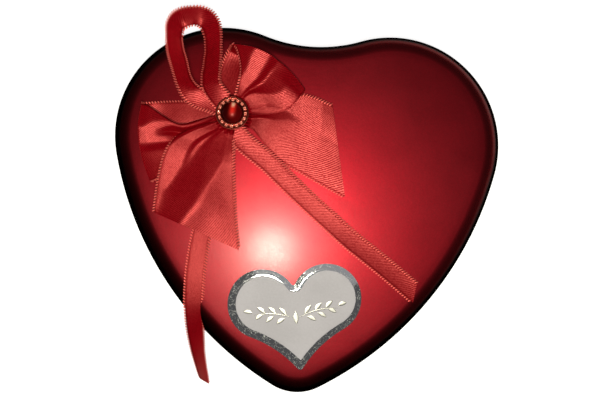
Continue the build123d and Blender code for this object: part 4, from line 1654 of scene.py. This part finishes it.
class HEARTBOX_OT_bow(bpy.types.Operator):
    """Builds the wide ribbon, the narrow ribbon and the knot, and gives the knot's wire and glue their
    finishes
    """

    bl_idname = "heartbox.bow"
    bl_label = "Bow"

    def execute(self, context):
        cloth = [satin_material("satin_ribbon", True), picot_material("satin_picots")]
        make_knot(satin_material("satin_gathered", False))
        make_wide_ribbons(cloth)
        make_narrow_ribbons(cloth)
        for node, material in (
            ("tie_wire", metal_material("binding_wire", (0.72, 0.55, 0.3), 0.25, 0.4)),
            ("glue_pad", glue_material("clear_glue")),
        ):
            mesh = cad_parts[node].data
            mesh.materials.clear()
            mesh.materials.append(material)
        return {"FINISHED"}


class HEARTBOX_OT_brooch(bpy.types.Operator):
    """Builds the brooch on the knot"""

    bl_idname = "heartbox.brooch"
    bl_label = "Brooch"

    def execute(self, context):
        brooch = settings().brooch
        bow = settings().bow
        centre = (bow.knot_x, bow.knot_y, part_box("brooch_setting")[0].z)
        make_setting(metal_material("copper_setting", brooch.metal, 0.24, 0.36), centre)
        make_stone(dome_material("red_stone"), centre)
        cups = stone_material("pink_stone", shaded(brooch.bead, 0.8), brooch.bead)
        # The floor of each bead's hollow takes a dark red.
        hollow_floors = stone_material("bead_cores", (0.25, 0.01, 0.01), (0.4, 0.03, 0.02))
        make_beads([cups, hollow_floors], centre)
        return {"FINISHED"}


class HEARTBOX_OT_label(bpy.types.Operator):
    """Builds the foil heart and its paper face"""

    bl_idname = "heartbox.label"
    bl_label = "Label"

    def execute(self, context):
        make_foil(foil_material("silver_foil"))
        stamped = metal_material("stamped_leaf", (0.3, 0.29, 0.28), 0.3, 0.42)
        make_face([paper_material("grey_paper"), stamped])
        return {"FINISHED"}


class HEARTBOX_OT_stage(bpy.types.Operator):
    """Sets the floor, the light and the camera"""

    bl_idname = "heartbox.stage"
    bl_label = "Stage"

    def execute(self, context):
        make_floor()
        make_light()
        make_camera()
        return {"FINISHED"}


class HEARTBOX_PT_panel(bpy.types.Panel):
    """Lists the pieces and their settings"""

    bl_idname = "HEARTBOX_PT_panel"
    bl_label = "Heart box"
    bl_space_type = "VIEW_3D"
    bl_region_type = "UI"
    bl_category = "Heart box"

    def draw(self, context):
        box = context.scene.heart_box
        for operator, group in STEPS:
            self.layout.operator(operator.bl_idname)
            values = getattr(box, group)
            for name in values.__annotations__:
                self.layout.prop(values, name)


STEPS = (
    (HEARTBOX_OT_tin, "tin"),
    (HEARTBOX_OT_bow, "bow"),
    (HEARTBOX_OT_brooch, "brooch"),
    (HEARTBOX_OT_label, "label"),
    (HEARTBOX_OT_stage, "stage"),
)
CLASSES = (
    TinSizes,
    BowSizes,
    BroochSizes,
    LabelSizes,
    StageSizes,
    HeartBox,
    *(operator for operator, group in STEPS),
    HEARTBOX_PT_panel,
)


def register():
    for cls in CLASSES:
        bpy.utils.register_class(cls)
    bpy.types.Scene.heart_box = PointerProperty(type=HeartBox)


def unregister():
    del bpy.types.Scene.heart_box
    for cls in reversed(CLASSES):
        bpy.utils.unregister_class(cls)


def main():
    register()
    bpy.ops.heartbox.tin()
    bpy.ops.heartbox.bow()
    bpy.ops.heartbox.brooch()
    bpy.ops.heartbox.label()
    bpy.ops.heartbox.stage()


if __name__ == "__main__":
    main()
